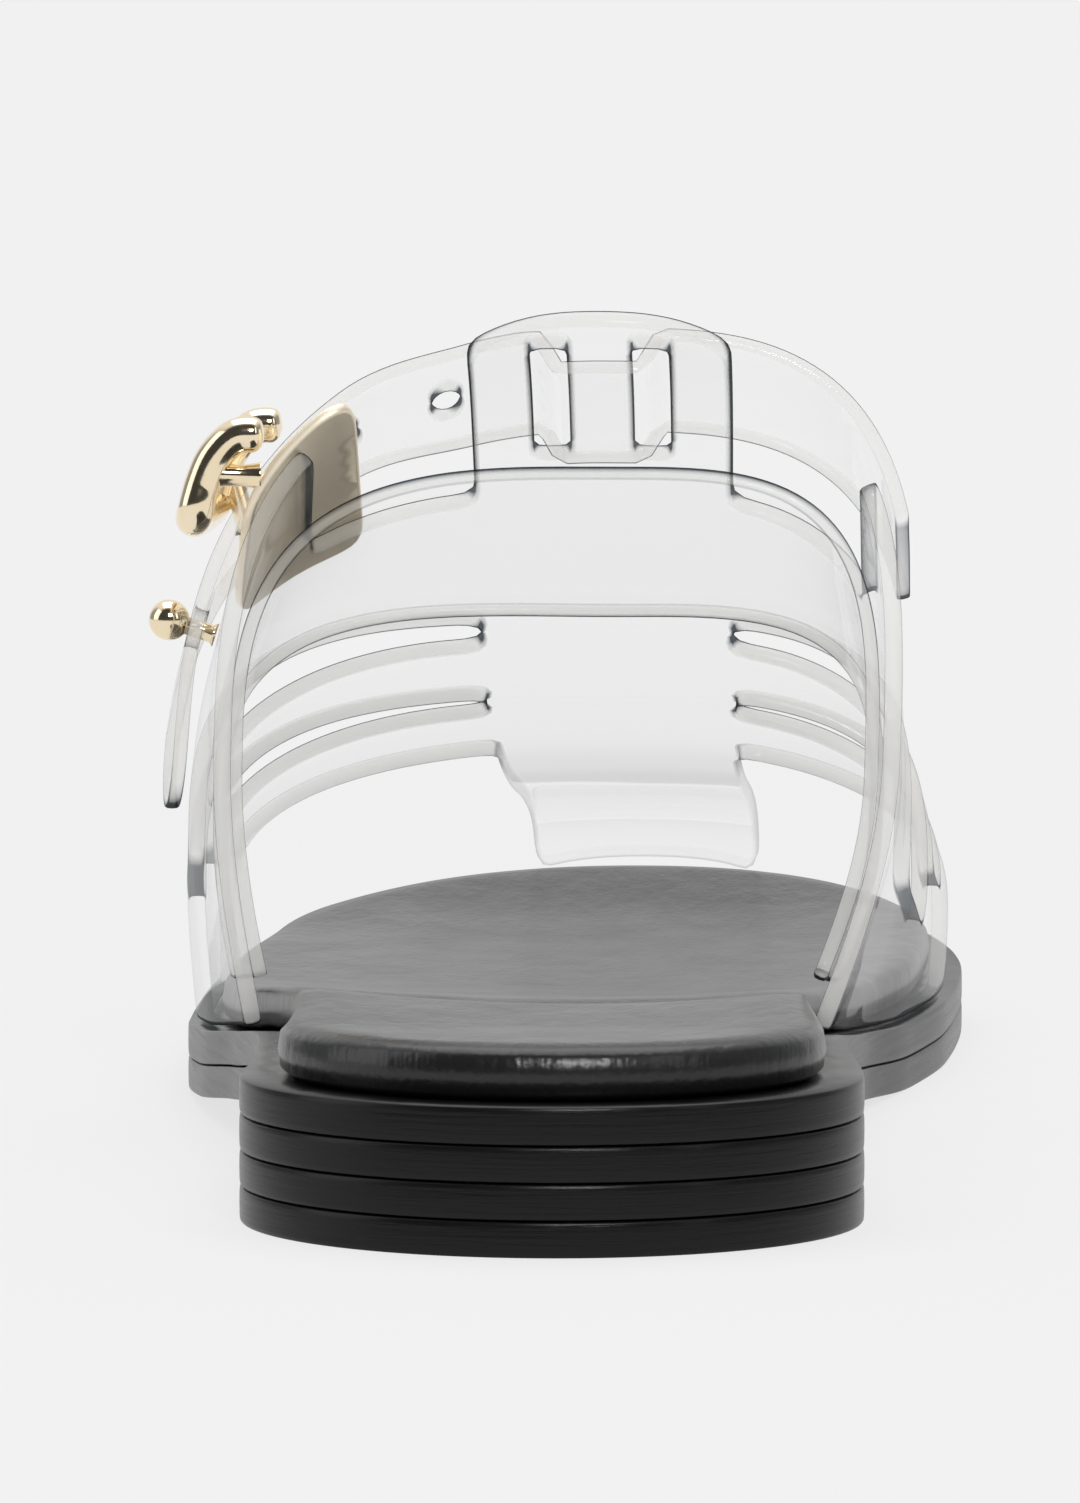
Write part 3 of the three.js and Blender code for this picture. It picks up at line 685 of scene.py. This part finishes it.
def make_band():
    middle_offset = -(WALL / 2 + BAND_GAP + BAND_THICKNESS / 2)
    steps = 60
    rear, front = [], []
    for i in range(steps + 1):
        share = 2 * i / steps - 1
        low = share * share
        side = -1 if share < 0 else 1
        start = mix(BAND_REAR, BAND_FOOT_REAR, low)
        width = mix(BAND_WIDTH, BAND_FOOT_WIDTH, low)
        rear.append((share * (girth(side, start) - FOOTBED_THICKNESS), start))
        end = start + width
        front.append((share * (girth(side, end) - FOOTBED_THICKNESS), end))
    outline = softened(rear + front[::-1], 0.8, 1.3)

    def lift(x, y, t):
        return lifted(y, x, middle_offset + t)

    piece = sheet_piece("inner_band", outline, [], 2.0, BAND_THICKNESS, BAND_EDGE, lift)
    # The band is given a bolder painted dark outline on its upper part
    marked(piece, "bold_painted_outline")
    own(piece, "clear_plastic", "instep_band")
    return piece


# Strap

ON_WALL = WALL / 2 + PIECE_GAP + STRAP_THICKNESS / 2
ON_PLATE = ON_WALL + PLATE_THICKNESS + PIECE_GAP


def strap_middle(around):
    return STRAP_CREST + STRAP_SLANT * smooth(-around / STRAP_TAIL_REACH)


def strap_lift(around):
    weave = smooth((abs(around) - SLOT_CENTRE) / WEAVE_RUN + 0.5)
    ramp = PLATE_MIDDLE - PLATE_LENGTH / 2 - SPINE_HALF
    over_plate = smooth((-around - SPINE_HALF) / ramp)
    return mix(-ON_WALL, ON_WALL, weave) + (ON_PLATE - ON_WALL) * over_plate


def make_strap():
    half = STRAP_WIDTH / 2
    tip = -STRAP_TAIL_REACH
    outline = []
    for i in range(13):
        angle = math.pi / 2 + math.pi * i / 12
        outline.append((tip + half * (1 + math.cos(angle)), half * math.sin(angle)))
    outline += [(STRAP_MEDIAL_REACH, -half), (STRAP_MEDIAL_REACH, half)]
    outline = softened(outline, 0.7, 1.1)
    holes = []
    for k in range(STRAP_HOLE_COUNT):
        centre = k * STRAP_HOLE_PITCH - STUD_ROUND
        loop = []
        for i in range(20):
            angle = 2 * math.pi * i / 20
            across = STRAP_HOLE_WIDTH / 2 * math.cos(angle)
            loop.append((centre + across, STRAP_HOLE_WIDTH / 2 * STRAP_HOLE_STRETCH * math.sin(angle)))
        holes.append(np.array(loop))

    def lift(x, y, t):
        slope = (strap_lift(x + 0.1) - strap_lift(x - 0.1)) / 0.2
        lean = math.atan(slope)
        return lifted(strap_middle(x) + y, x - t * math.sin(lean), strap_lift(x) + t * math.cos(lean))

    piece = sheet_piece("threaded_strap", outline, holes, 1.6, STRAP_THICKNESS, STRAP_EDGE, lift)
    own(piece, "clear_plastic", "buckle_strap")
    return piece


# Metal pieces

PLATE_FLOOR = WALL / 2 + PIECE_GAP
PLATE_ALONG = strap_middle(-PLATE_MIDDLE) + PLATE_FORWARD
RIVET_FLOOR = PLATE_FLOOR + PLATE_THICKNESS
PLATE_EDGE = 0.45
PLATE_CORNER = 3.0
RIVET_FOOT = 0.3
# A turned piece closes on a small ring round its axis
POLE_RADIUS = 0.05
# The ball's centre over the strap as a share of its width, and its lowest point as a share of its radius
STUD_RISE = 0.45
STUD_NECK = -0.9
ROD_SIDES = 20


def standing(along, around, offset):
    """Axes that stand on the surface: X round the arch, Y towards the toe, Z outwards."""
    out = normal_at(along, around)
    fore = (Vector((0, 1, 0)) - out * out.y).normalized()
    over = fore.cross(out)
    matrix = Matrix((over, fore, out)).transposed().to_4x4()
    matrix.translation = lifted(along, around, offset)
    return matrix


def lathe_piece(name, profile, matrix, around=40):
    """A closed turned piece; the profile runs from axis to axis."""
    vertices, faces = [], []
    for r, z in profile:
        for i in range(around):
            angle = 2 * math.pi * i / around
            vertices.append(matrix @ Vector((r * math.cos(angle), r * math.sin(angle), z)))
    for k in range(len(profile) - 1):
        for i in range(around):
            a, b = k * around + i, k * around + (i + 1) % around
            faces.append((a, b, b + around, a + around))
    faces.append(tuple(reversed(range(around))))
    top = (len(profile) - 1) * around
    faces.append(tuple(range(top, top + around)))
    return mesh_piece(name, vertices, faces)


def make_plate():
    corners = [(x * PLATE_LENGTH / 2 - PLATE_MIDDLE, y * PLATE_WIDTH / 2 + PLATE_ALONG)
               for x, y in ((-1, -1), (1, -1), (1, 1), (-1, 1))]
    outline = softened(corners, PLATE_CORNER, 1.0)

    def lift(x, y, t):
        return lifted(y, x, PLATE_FLOOR + PLATE_THICKNESS / 2 + t)

    piece = sheet_piece("gold_plate", outline, [], 1.6, PLATE_THICKNESS, PLATE_EDGE, lift)
    marked(piece, "satin")
    own(piece, "pale_gold", "buckle_plate")
    return piece


def make_rivet(name, node, share_along, share_round):
    along = PLATE_ALONG + share_along * (PLATE_WIDTH / 2 - RIVET_DIAMETER / 2)
    around = -PLATE_MIDDLE + share_round * (PLATE_LENGTH / 2 - RIVET_DIAMETER)
    radius = RIVET_DIAMETER * 0.4
    profile = [(POLE_RADIUS, 0.0), (radius, 0.0)]
    for i in range(9):
        angle = math.pi / 2 * i / 8
        height = RIVET_FOOT + (RIVET_HEIGHT - RIVET_FOOT) * math.sin(angle)
        profile.append((max(radius * math.cos(angle), POLE_RADIUS), height))
    piece = lathe_piece(name, profile, standing(along, around, RIVET_FLOOR), around=28)
    own(piece, "pale_gold", node)
    return piece


def make_stud():
    strap_top = ON_PLATE + STRAP_THICKNESS / 2
    height = strap_top - PLATE_FLOOR + PIECE_GAP + STUD_RISE * STUD_BALL
    ball = STUD_BALL / 2
    start = math.asin(STUD_NECK)
    profile = [(POLE_RADIUS, 0.0), (STUD_POST / 2 + 0.4, 0.0), (STUD_POST / 2, 0.5)]
    for i in range(19):
        angle = mix(start, math.pi / 2, i / 18)
        profile.append((max(ball * math.cos(angle), POLE_RADIUS), height + ball * math.sin(angle)))
    matrix = standing(strap_middle(-STUD_ROUND), -STUD_ROUND, PLATE_FLOOR)
    piece = lathe_piece("gold_ball_stud", profile, matrix)
    own(piece, "pale_gold", "ball_stud")
    return piece


def spline(points, steps):
    """Points of a smooth curve through the given ones."""
    out = []
    for s in range(len(points) - 1):
        p = [points[int(clamp(s + k - 1, 0, len(points) - 1))] for k in range(4)]
        for i in range(steps):
            t = i / steps
            out.append(0.5 * (2 * p[1] + (p[2] - p[0]) * t
                              + (2 * p[0] - 5 * p[1] + 4 * p[2] - p[3]) * t * t
                              + (3 * p[1] - p[0] - 3 * p[2] + p[3]) * t ** 3))
    out.append(points[-1].copy())
    return out


def tube(points, radius):
    """Vertices and faces of a round rod along an open curve."""
    count = len(points)
    sides = ROD_SIDES
    vertices, faces = [], []
    normal = None
    for i, p in enumerate(points):
        tangent = (points[min(i + 1, count - 1)] - points[max(i - 1, 0)]).normalized()
        if normal is None:
            normal = tangent.orthogonal().normalized()
        normal = (normal - tangent * normal.dot(tangent)).normalized()
        other = tangent.cross(normal)
        r = radius(i / (count - 1))
        for j in range(sides):
            angle = 2 * math.pi * j / sides
            vertices.append(p + (normal * math.cos(angle) + other * math.sin(angle)) * r)
    for i in range(count - 1):
        for j in range(sides):
            a, b = i * sides + j, i * sides + (j + 1) % sides
            faces.append((a, b, b + sides, a + sides))
    faces.append(tuple(reversed(range(sides))))
    faces.append(tuple(range((count - 1) * sides, count * sides)))
    return vertices, faces


# The bow: share of its reach up the arch, of its lift off the wall and of its half width
FRAME_ROWS = (
    (1.04, 0.74, 1.0),
    (0.84, 0.97, 1.0),
    (0.50, 1.02, 1.0),
    (0.16, 0.94, 1.0),
    (-0.14, 0.82, 1.0),
    (-0.26, 0.80, 0.6),
)
# Where the two stems meet the bow, in the same shares, and how much thicker a stem is at its ends
STEM_HEAD = (0.30, 0.95, 1.0)
STEM_FLARE = 0.35


def make_frame():
    origin = lifted(strap_middle(-PLATE_MIDDLE), -FRAME_MIDDLE, 0.0)
    normal = normal_at(origin.y, -FRAME_MIDDLE)
    out = Vector((normal.x, 0.0, normal.z)).normalized()
    up = Vector((out.z, 0.0, -out.x))
    half_bow = STRAP_WIDTH / 2 + FRAME_ROD / 2 + FRAME_SIDE_CLEARANCE

    def at(side, row):
        across = Vector((0.0, side * row[2] * half_bow, 0.0))
        return origin + up * (row[0] * FRAME_REACH) + across + out * (row[1] * FRAME_LIFT)

    rear = [at(-1, row) for row in FRAME_ROWS]
    front = [at(1, row) for row in reversed(FRAME_ROWS)]
    path = spline(rear + front, 10)

    def round_ends(t):
        near = min(t, 1 - t) * (len(path) - 1) / 5
        return FRAME_ROD / 2 * math.sqrt(max(1 - (1 - clamp(near, 0.0, 1.0)) ** 2, 0.06))

    def waist(t):
        return STEM_DIAMETER / 2 * (1 + STEM_FLARE * (2 * t - 1) ** 2)

    vertices, faces = tube(path, round_ends)
    for side in SIDES:
        foot = lifted(origin.y + side * half_bow, 0.1 * FRAME_REACH - FRAME_MIDDLE, RIVET_FLOOR + 0.2)
        head = at(side, STEM_HEAD)
        more, more_faces = tube(spline([foot, foot.lerp(head, 0.5), head], 8), waist)
        start = len(vertices)
        vertices += more
        faces += [tuple(v + start for v in f) for f in more_faces]
    piece = mesh_piece("gold_frame", vertices, faces)
    own(piece, "pale_gold", "buckle_frame")
    return piece


# Materials


class Nodes:
    """A short way to write a material's nodes and links."""

    def __init__(self, name):
        self.material = bpy.data.materials.new(name)
        self.material.use_nodes = True
        self.tree = self.material.node_tree
        self.shader = self.tree.nodes["Principled BSDF"]
        self.output = self.tree.nodes["Material Output"]

    def add(self, kind, **values):
        node = self.tree.nodes.new(kind)
        for key, value in values.items():
            if key in node.inputs:
                node.inputs[key].default_value = value
            else:
                setattr(node, key, value)
        return node

    def link(self, source, target):
        self.tree.links.new(source, target)

    def position(self, scale=(1, 1, 1)):
        mapping = self.add("ShaderNodeMapping")
        mapping.inputs["Scale"].default_value = scale
        self.link(self.add("ShaderNodeTexCoord").outputs["Object"], mapping.inputs["Vector"])
        return mapping.outputs["Vector"]

    def attribute(self, name):
        return self.add("ShaderNodeAttribute", attribute_name=name).outputs["Fac"]

    def tinted(self, factor, a, b):
        """A colour between two, by a factor."""
        node = self.add("ShaderNodeMix", data_type="RGBA")
        node.inputs["A"].default_value = (*a, 1)
        node.inputs["B"].default_value = (*b, 1)
        self.link(factor, node.inputs["Factor"])
        return node.outputs["Result"]

    def noise(self, scale, detail, roughness=0.5, stretch=(1, 1, 1)):
        node = self.add("ShaderNodeTexNoise")
        node.inputs["Scale"].default_value = scale
        node.inputs["Detail"].default_value = detail
        node.inputs["Roughness"].default_value = roughness
        self.link(self.position(stretch), node.inputs["Vector"])
        return node.outputs["Fac"]

    def ramp(self, value, low, high, start=0.0, end=1.0):
        node = self.add("ShaderNodeMapRange")
        node.inputs["From Min"].default_value = start
        node.inputs["From Max"].default_value = end
        node.inputs["To Min"].default_value = low
        node.inputs["To Max"].default_value = high
        self.link(value, node.inputs["Value"])
        return node.outputs["Result"]

    def feed(self, value, socket):
        if isinstance(value, (int, float)):
            socket.default_value = value
        else:
            self.link(value, socket)

    def math(self, operation, a, b):
        node = self.add("ShaderNodeMath", operation=operation)
        self.feed(a, node.inputs[0])
        self.feed(b, node.inputs[1])
        return node.outputs["Value"]

    def mixed(self, share, a, b):
        node = self.add("ShaderNodeMixShader")
        self.feed(share, node.inputs["Fac"])
        self.link(a, node.inputs[1])
        self.link(b, node.inputs[2])
        return node.outputs["Shader"]

    def bump(self, height, distance, strength, below=None):
        node = self.add("ShaderNodeBump")
        node.inputs["Distance"].default_value = distance
        node.inputs["Strength"].default_value = strength
        self.link(height, node.inputs["Height"])
        if below is not None:
            self.link(below, node.inputs["Normal"])
        return node.outputs["Normal"]


PLASTIC_IOR = 1.46
# Heights between which the rims turn less milky, as the painted light on the lower rims fades out, and
# places ahead between which the rims' painted outlines and milky core fade, in metres
LOW_RIM_LIGHT_FROM, LOW_RIM_LIGHT_TO = 0.045, 0.062
PAINTED_RIM_FULL_TO, PAINTED_RIM_FAINT_FROM = 0.035, 0.055
# How far a rim turns away from the view, where its painted dark outline (painted shade) starts and where it
# is darkest
PAINTED_OUTLINE_FROM, PAINTED_OUTLINE_TO = 0.36, 0.66
# How much bolder the painted dark outline is on the upper part of the inner band
PAINTED_OUTLINE_BOLDER = 0.30


def clear_plastic():
    """Clear moulded plastic: see-through glossy faces, and rims with painted dark outlines (painted shade,
    slightly blue) and a milky core that is partly painted light, milkier lower down.
    """
    n = Nodes("clear_plastic")
    s = n.shader
    waves = n.bump(n.noise(55, 1), 0.00025, 0.5)
    facing = n.add("ShaderNodeLayerWeight", Blend=0.5).outputs["Facing"]
    rim, bold_painted_outline = n.attribute("rim"), n.attribute("bold_painted_outline")
    split = n.add("ShaderNodeSeparateXYZ")
    n.link(n.position(), split.inputs["Vector"])
    # Painted light: rims near the floor get a milkier core, as if they were lit, fading out higher up
    low = n.ramp(split.outputs["Z"], 1.0, 0.0, LOW_RIM_LIGHT_FROM, LOW_RIM_LIGHT_TO)
    high = n.math("SUBTRACT", 1.0, low)
    # The painted outlines and the milky rim core weaken towards the toe, from full at the back to a fifth
    painted_rim_weight = n.ramp(split.outputs["Y"], 1.0, 0.2, PAINTED_RIM_FULL_TO, PAINTED_RIM_FAINT_FROM)
    # Painted shade: a rim's see-through colour turns dark as it turns away from the view, bolder on the
    # upper band, standing in for the dark lines that clear edges show
    turned = n.math("ADD", facing, n.math("MULTIPLY", n.math("MULTIPLY", bold_painted_outline, high), PAINTED_OUTLINE_BOLDER))
    dark = n.ramp(turned, 0.0, 1.0, PAINTED_OUTLINE_FROM, PAINTED_OUTLINE_TO)
    outline = n.math("MULTIPLY", n.math("MULTIPLY", rim, painted_rim_weight), dark)
    # Painted shade: faces seen nearly edge-on are darkened a little
    grazing_painted_shade = n.ramp(facing, 0.0, 1.0, 0.90, 1.0)
    shade = n.math("MAXIMUM", outline, n.math("MULTIPLY", grazing_painted_shade, 0.12))
    through = n.add("ShaderNodeBsdfTransparent")
    # The dark end of this tint, slightly blue, is the painted outline colour
    n.link(n.tinted(shade, (0.998, 0.999, 0.999), (0.07, 0.085, 0.10)), through.inputs["Color"])
    s.inputs["Base Color"].default_value = (0.95, 0.945, 0.925, 1)
    s.inputs["Roughness"].default_value = 0.05
    s.inputs["IOR"].default_value = PLASTIC_IOR
    n.link(waves, s.inputs["Normal"])
    milky = n.add("ShaderNodeBsdfTranslucent")
    milky.inputs["Color"].default_value = (0.97, 0.955, 0.92, 1)
    chalk = n.mixed(0.45, milky.outputs["BSDF"], s.outputs["BSDF"])
    gloss = n.add("ShaderNodeBsdfGlossy", Roughness=0.03)
    n.link(waves, gloss.inputs["Normal"])
    fresnel = n.add("ShaderNodeFresnel", IOR=PLASTIC_IOR)
    n.link(waves, fresnel.inputs["Normal"])
    front = n.math("SUBTRACT", 1.0, n.add("ShaderNodeNewGeometry").outputs["Backfacing"])
    mirror = n.math("MULTIPLY", n.math("MINIMUM", fresnel.outputs["Fac"], 0.7), 0.45)
    share = n.math("MULTIPLY", mirror, front)
    share = n.math("MULTIPLY", share, n.math("SUBTRACT", 1.0, n.math("MULTIPLY", rim, 0.75)))
    body = n.mixed(share, through.outputs["BSDF"], gloss.outputs["BSDF"])
    # Milky core on the rims, lit by the lamps through the translucent shader, with painted light added as a
    # larger share on the low rims
    core = n.math("MULTIPLY", n.math("SUBTRACT", rim, outline), painted_rim_weight)
    milk_and_rim_light = n.math("MULTIPLY", core, n.math("ADD", n.math("MULTIPLY", low, 0.30), 0.35))
    n.link(n.mixed(n.math("ADD", milk_and_rim_light, 0.02), body, chalk), n.output.inputs["Surface"])
    return n.material


def footbed_leather():
    n = Nodes("footbed_leather")
    s = n.shader
    tone = n.tinted(n.noise(38, 4, 0.6), (0.006, 0.006, 0.0064), (0.013, 0.013, 0.0134))
    n.link(tone, s.inputs["Base Color"])
    n.link(n.ramp(n.noise(90, 4, 0.6), 0.24, 0.36), s.inputs["Roughness"])
    s.inputs["Specular IOR Level"].default_value = 0.5
    grain = n.add("ShaderNodeTexVoronoi", feature="SMOOTH_F1")
    grain.inputs["Scale"].default_value = 1500
    n.link(n.position(), grain.inputs["Vector"])
    fine = n.bump(grain.outputs["Distance"], 0.00006, 0.5)
    folds = n.bump(n.noise(300, 3, 0.55, (1.0, 0.45, 0.22)), 0.0005, 0.6, fine)
    n.link(folds, s.inputs["Normal"])
    return n.material


def edge_leather():
    n = Nodes("edge_leather")
    s = n.shader
    streaks = n.noise(60, 4, 0.65, (1, 1, 28))
    tone = n.tinted(streaks, (0.003, 0.003, 0.003), (0.008, 0.008, 0.0078))
    n.link(tone, s.inputs["Base Color"])
    n.link(n.ramp(streaks, 0.22, 0.36), s.inputs["Roughness"])
    s.inputs["Specular IOR Level"].default_value = 0.22
    n.link(n.bump(streaks, 0.0002, 0.35), s.inputs["Normal"])
    return n.material


def pale_gold():
    n = Nodes("pale_gold")
    s = n.shader
    satin = n.attribute("satin")
    tone = n.tinted(n.math("MAXIMUM", n.noise(200, 3), satin), (0.86, 0.68, 0.40), (0.97, 0.87, 0.70))
    n.link(tone, s.inputs["Base Color"])
    s.inputs["Metallic"].default_value = 1.0
    polish = n.ramp(n.noise(900, 3), 0.07, 0.16)
    n.link(n.math("ADD", polish, n.math("MULTIPLY", satin, 0.42)), s.inputs["Roughness"])
    n.link(n.bump(n.noise(400, 2), 0.00004, 0.4), s.inputs["Normal"])
    return n.material


# Studio

# Faces of clear plastic that one line of sight may pass
CLEAR_FACES = 32
BACKDROP = (0.880, 0.880, 0.880, 1)
ROOM_SIDE = (0.30, 0.31, 0.32, 1)
ROOM_BEHIND = (0.05, 0.05, 0.05, 1)
# Distances from the middle between which the floor fades into the backdrop, in metres
FLOOR_FADE_START = 0.2
FLOOR_FADE_END = 0.6
FLOOR_GLOW = 0.84
# Where the photograph's camera stood, from the back of the heel, in millimetres
CAMERA_ACROSS = 50.3
CAMERA_BEHIND = 850.0
CAMERA_HEIGHT = 123.0
CAMERA_LENS = 205.0
CAMERA_AIM = Vector((-3.0, 60.0, 46.0))
# What the lights point at, in metres
LIGHT_AIM = (0.0, 0.0, 0.04)


def make_floor():
    bpy.ops.mesh.primitive_plane_add(size=60)
    floor = bpy.context.object
    floor.name = "studio_floor"
    n = Nodes("studio_floor")
    s = n.shader
    s.inputs["Base Color"].default_value = (0.80, 0.80, 0.80, 1)
    s.inputs["Roughness"].default_value = 0.9
    s.inputs["Specular IOR Level"].default_value = 0.0
    glow = n.add("ShaderNodeEmission")
    glow.inputs["Color"].default_value = BACKDROP
    length = n.add("ShaderNodeVectorMath", operation="LENGTH")
    n.link(n.position(), length.inputs[0])
    fade = n.add("ShaderNodeMapRange", interpolation_type="SMOOTHSTEP")
    fade.inputs["From Min"].default_value = FLOOR_FADE_START
    fade.inputs["From Max"].default_value = FLOOR_FADE_END
    fade.inputs["To Min"].default_value = FLOOR_GLOW
    n.link(length.outputs["Value"], fade.inputs["Value"])
    blend = n.mixed(fade.outputs["Result"], s.outputs["BSDF"], glow.outputs["Emission"])
    n.link(blend, n.output.inputs["Surface"])
    floor.data.materials.append(n.material)


def make_world():
    """A pale backdrop ahead and above, and a darker room behind the camera and at the sides."""
    world = bpy.data.worlds.new("studio")
    bpy.context.scene.world = world
    world.use_nodes = True
    tree = world.node_tree
    background = tree.nodes["Background"]
    coords = tree.nodes.new("ShaderNodeTexCoord")
    split = tree.nodes.new("ShaderNodeSeparateXYZ")
    tree.links.new(coords.outputs["Generated"], split.inputs["Vector"])
    colour = None
    for axis, start, end, tone in (("X", 0.55, 0.85, ROOM_SIDE), ("Y", -0.05, -0.45, ROOM_BEHIND)):
        source = split.outputs[axis]
        if axis == "X":
            aside = tree.nodes.new("ShaderNodeMath")
            aside.operation = "ABSOLUTE"
            tree.links.new(source, aside.inputs[0])
            source = aside.outputs["Value"]
        share = tree.nodes.new("ShaderNodeMapRange")
        share.interpolation_type = "SMOOTHSTEP"
        share.inputs["From Min"].default_value = start
        share.inputs["From Max"].default_value = end
        tree.links.new(source, share.inputs["Value"])
        blend = tree.nodes.new("ShaderNodeMix")
        blend.data_type = "RGBA"
        blend.inputs["A"].default_value = BACKDROP
        blend.inputs["B"].default_value = tone
        if colour is not None:
            tree.links.new(colour, blend.inputs["A"])
        tree.links.new(share.outputs["Result"], blend.inputs["Factor"])
        colour = blend.outputs["Result"]
    tree.links.new(colour, background.inputs["Color"])
    background.inputs["Strength"].default_value = 1.0


def area_light(name, place, size, power):
    """A rectangular light in metres and watts, aimed at LIGHT_AIM."""
    data = bpy.data.lights.new(name, "AREA")
    data.shape = "RECTANGLE"
    data.size, data.size_y = size
    data.energy = power
    light = bpy.data.objects.new(name, data)
    bpy.context.scene.collection.objects.link(light)
    light.location = place
    light.rotation_euler = (Vector(LIGHT_AIM) - Vector(place)).to_track_quat("-Z", "Y").to_euler()


def make_lights():
    area_light("top_softbox", (0.0, 0.25, 1.3), (1.2, 1.2), 7.0)
    area_light("left_softbox", (-1.2, -0.3, 0.6), (0.8, 1.1), 3.4)
    area_light("right_softbox", (1.0, -0.8, 0.7), (0.3, 0.9), 1.3)
    area_light("rear_softbox", (0.3, -1.5, 1.0), (0.6, 0.4), 12.0)


def make_camera():
    data = bpy.data.cameras.new("camera")
    data.sensor_width = 36.0
    data.lens = CAMERA_LENS
    data.clip_start = 0.05
    data.clip_end = 100
    camera = bpy.data.objects.new("camera", data)
    bpy.context.scene.collection.objects.link(camera)
    place = (Vector((CAMERA_ACROSS, -CAMERA_BEHIND, CAMERA_HEIGHT)) + SHIFT) * MM
    aim = (CAMERA_AIM + SHIFT) * MM
    camera.location = place
    camera.rotation_euler = (aim - place).to_track_quat("-Z", "Y").to_euler()
    bpy.context.scene.camera = camera


def main():
    bpy.context.scene.view_settings.view_transform = "Standard"
    bpy.context.scene.cycles.transparent_max_bounces = CLEAR_FACES
    make_camera()
    leather, edges, plastic, gold = footbed_leather(), edge_leather(), clear_plastic(), pale_gold()
    dressed = [(piece, edges) for piece in make_sole()]
    dressed.append((make_footbed(), leather))
    dressed += [(piece, plastic) for piece in (make_cage(), make_band(), make_strap())]
    dressed += [(piece, gold) for piece in (
        make_plate(),
        make_rivet("gold_rivet_rear", "rivet_rear", 0.62, 0.8),
        make_rivet("gold_rivet_front", "rivet_front", 0.92, 0.3),
        make_stud(),
        make_frame(),
    )]
    for piece, material in dressed:
        piece.data.materials.append(material)
    make_floor()
    make_world()
    make_lights()


main()
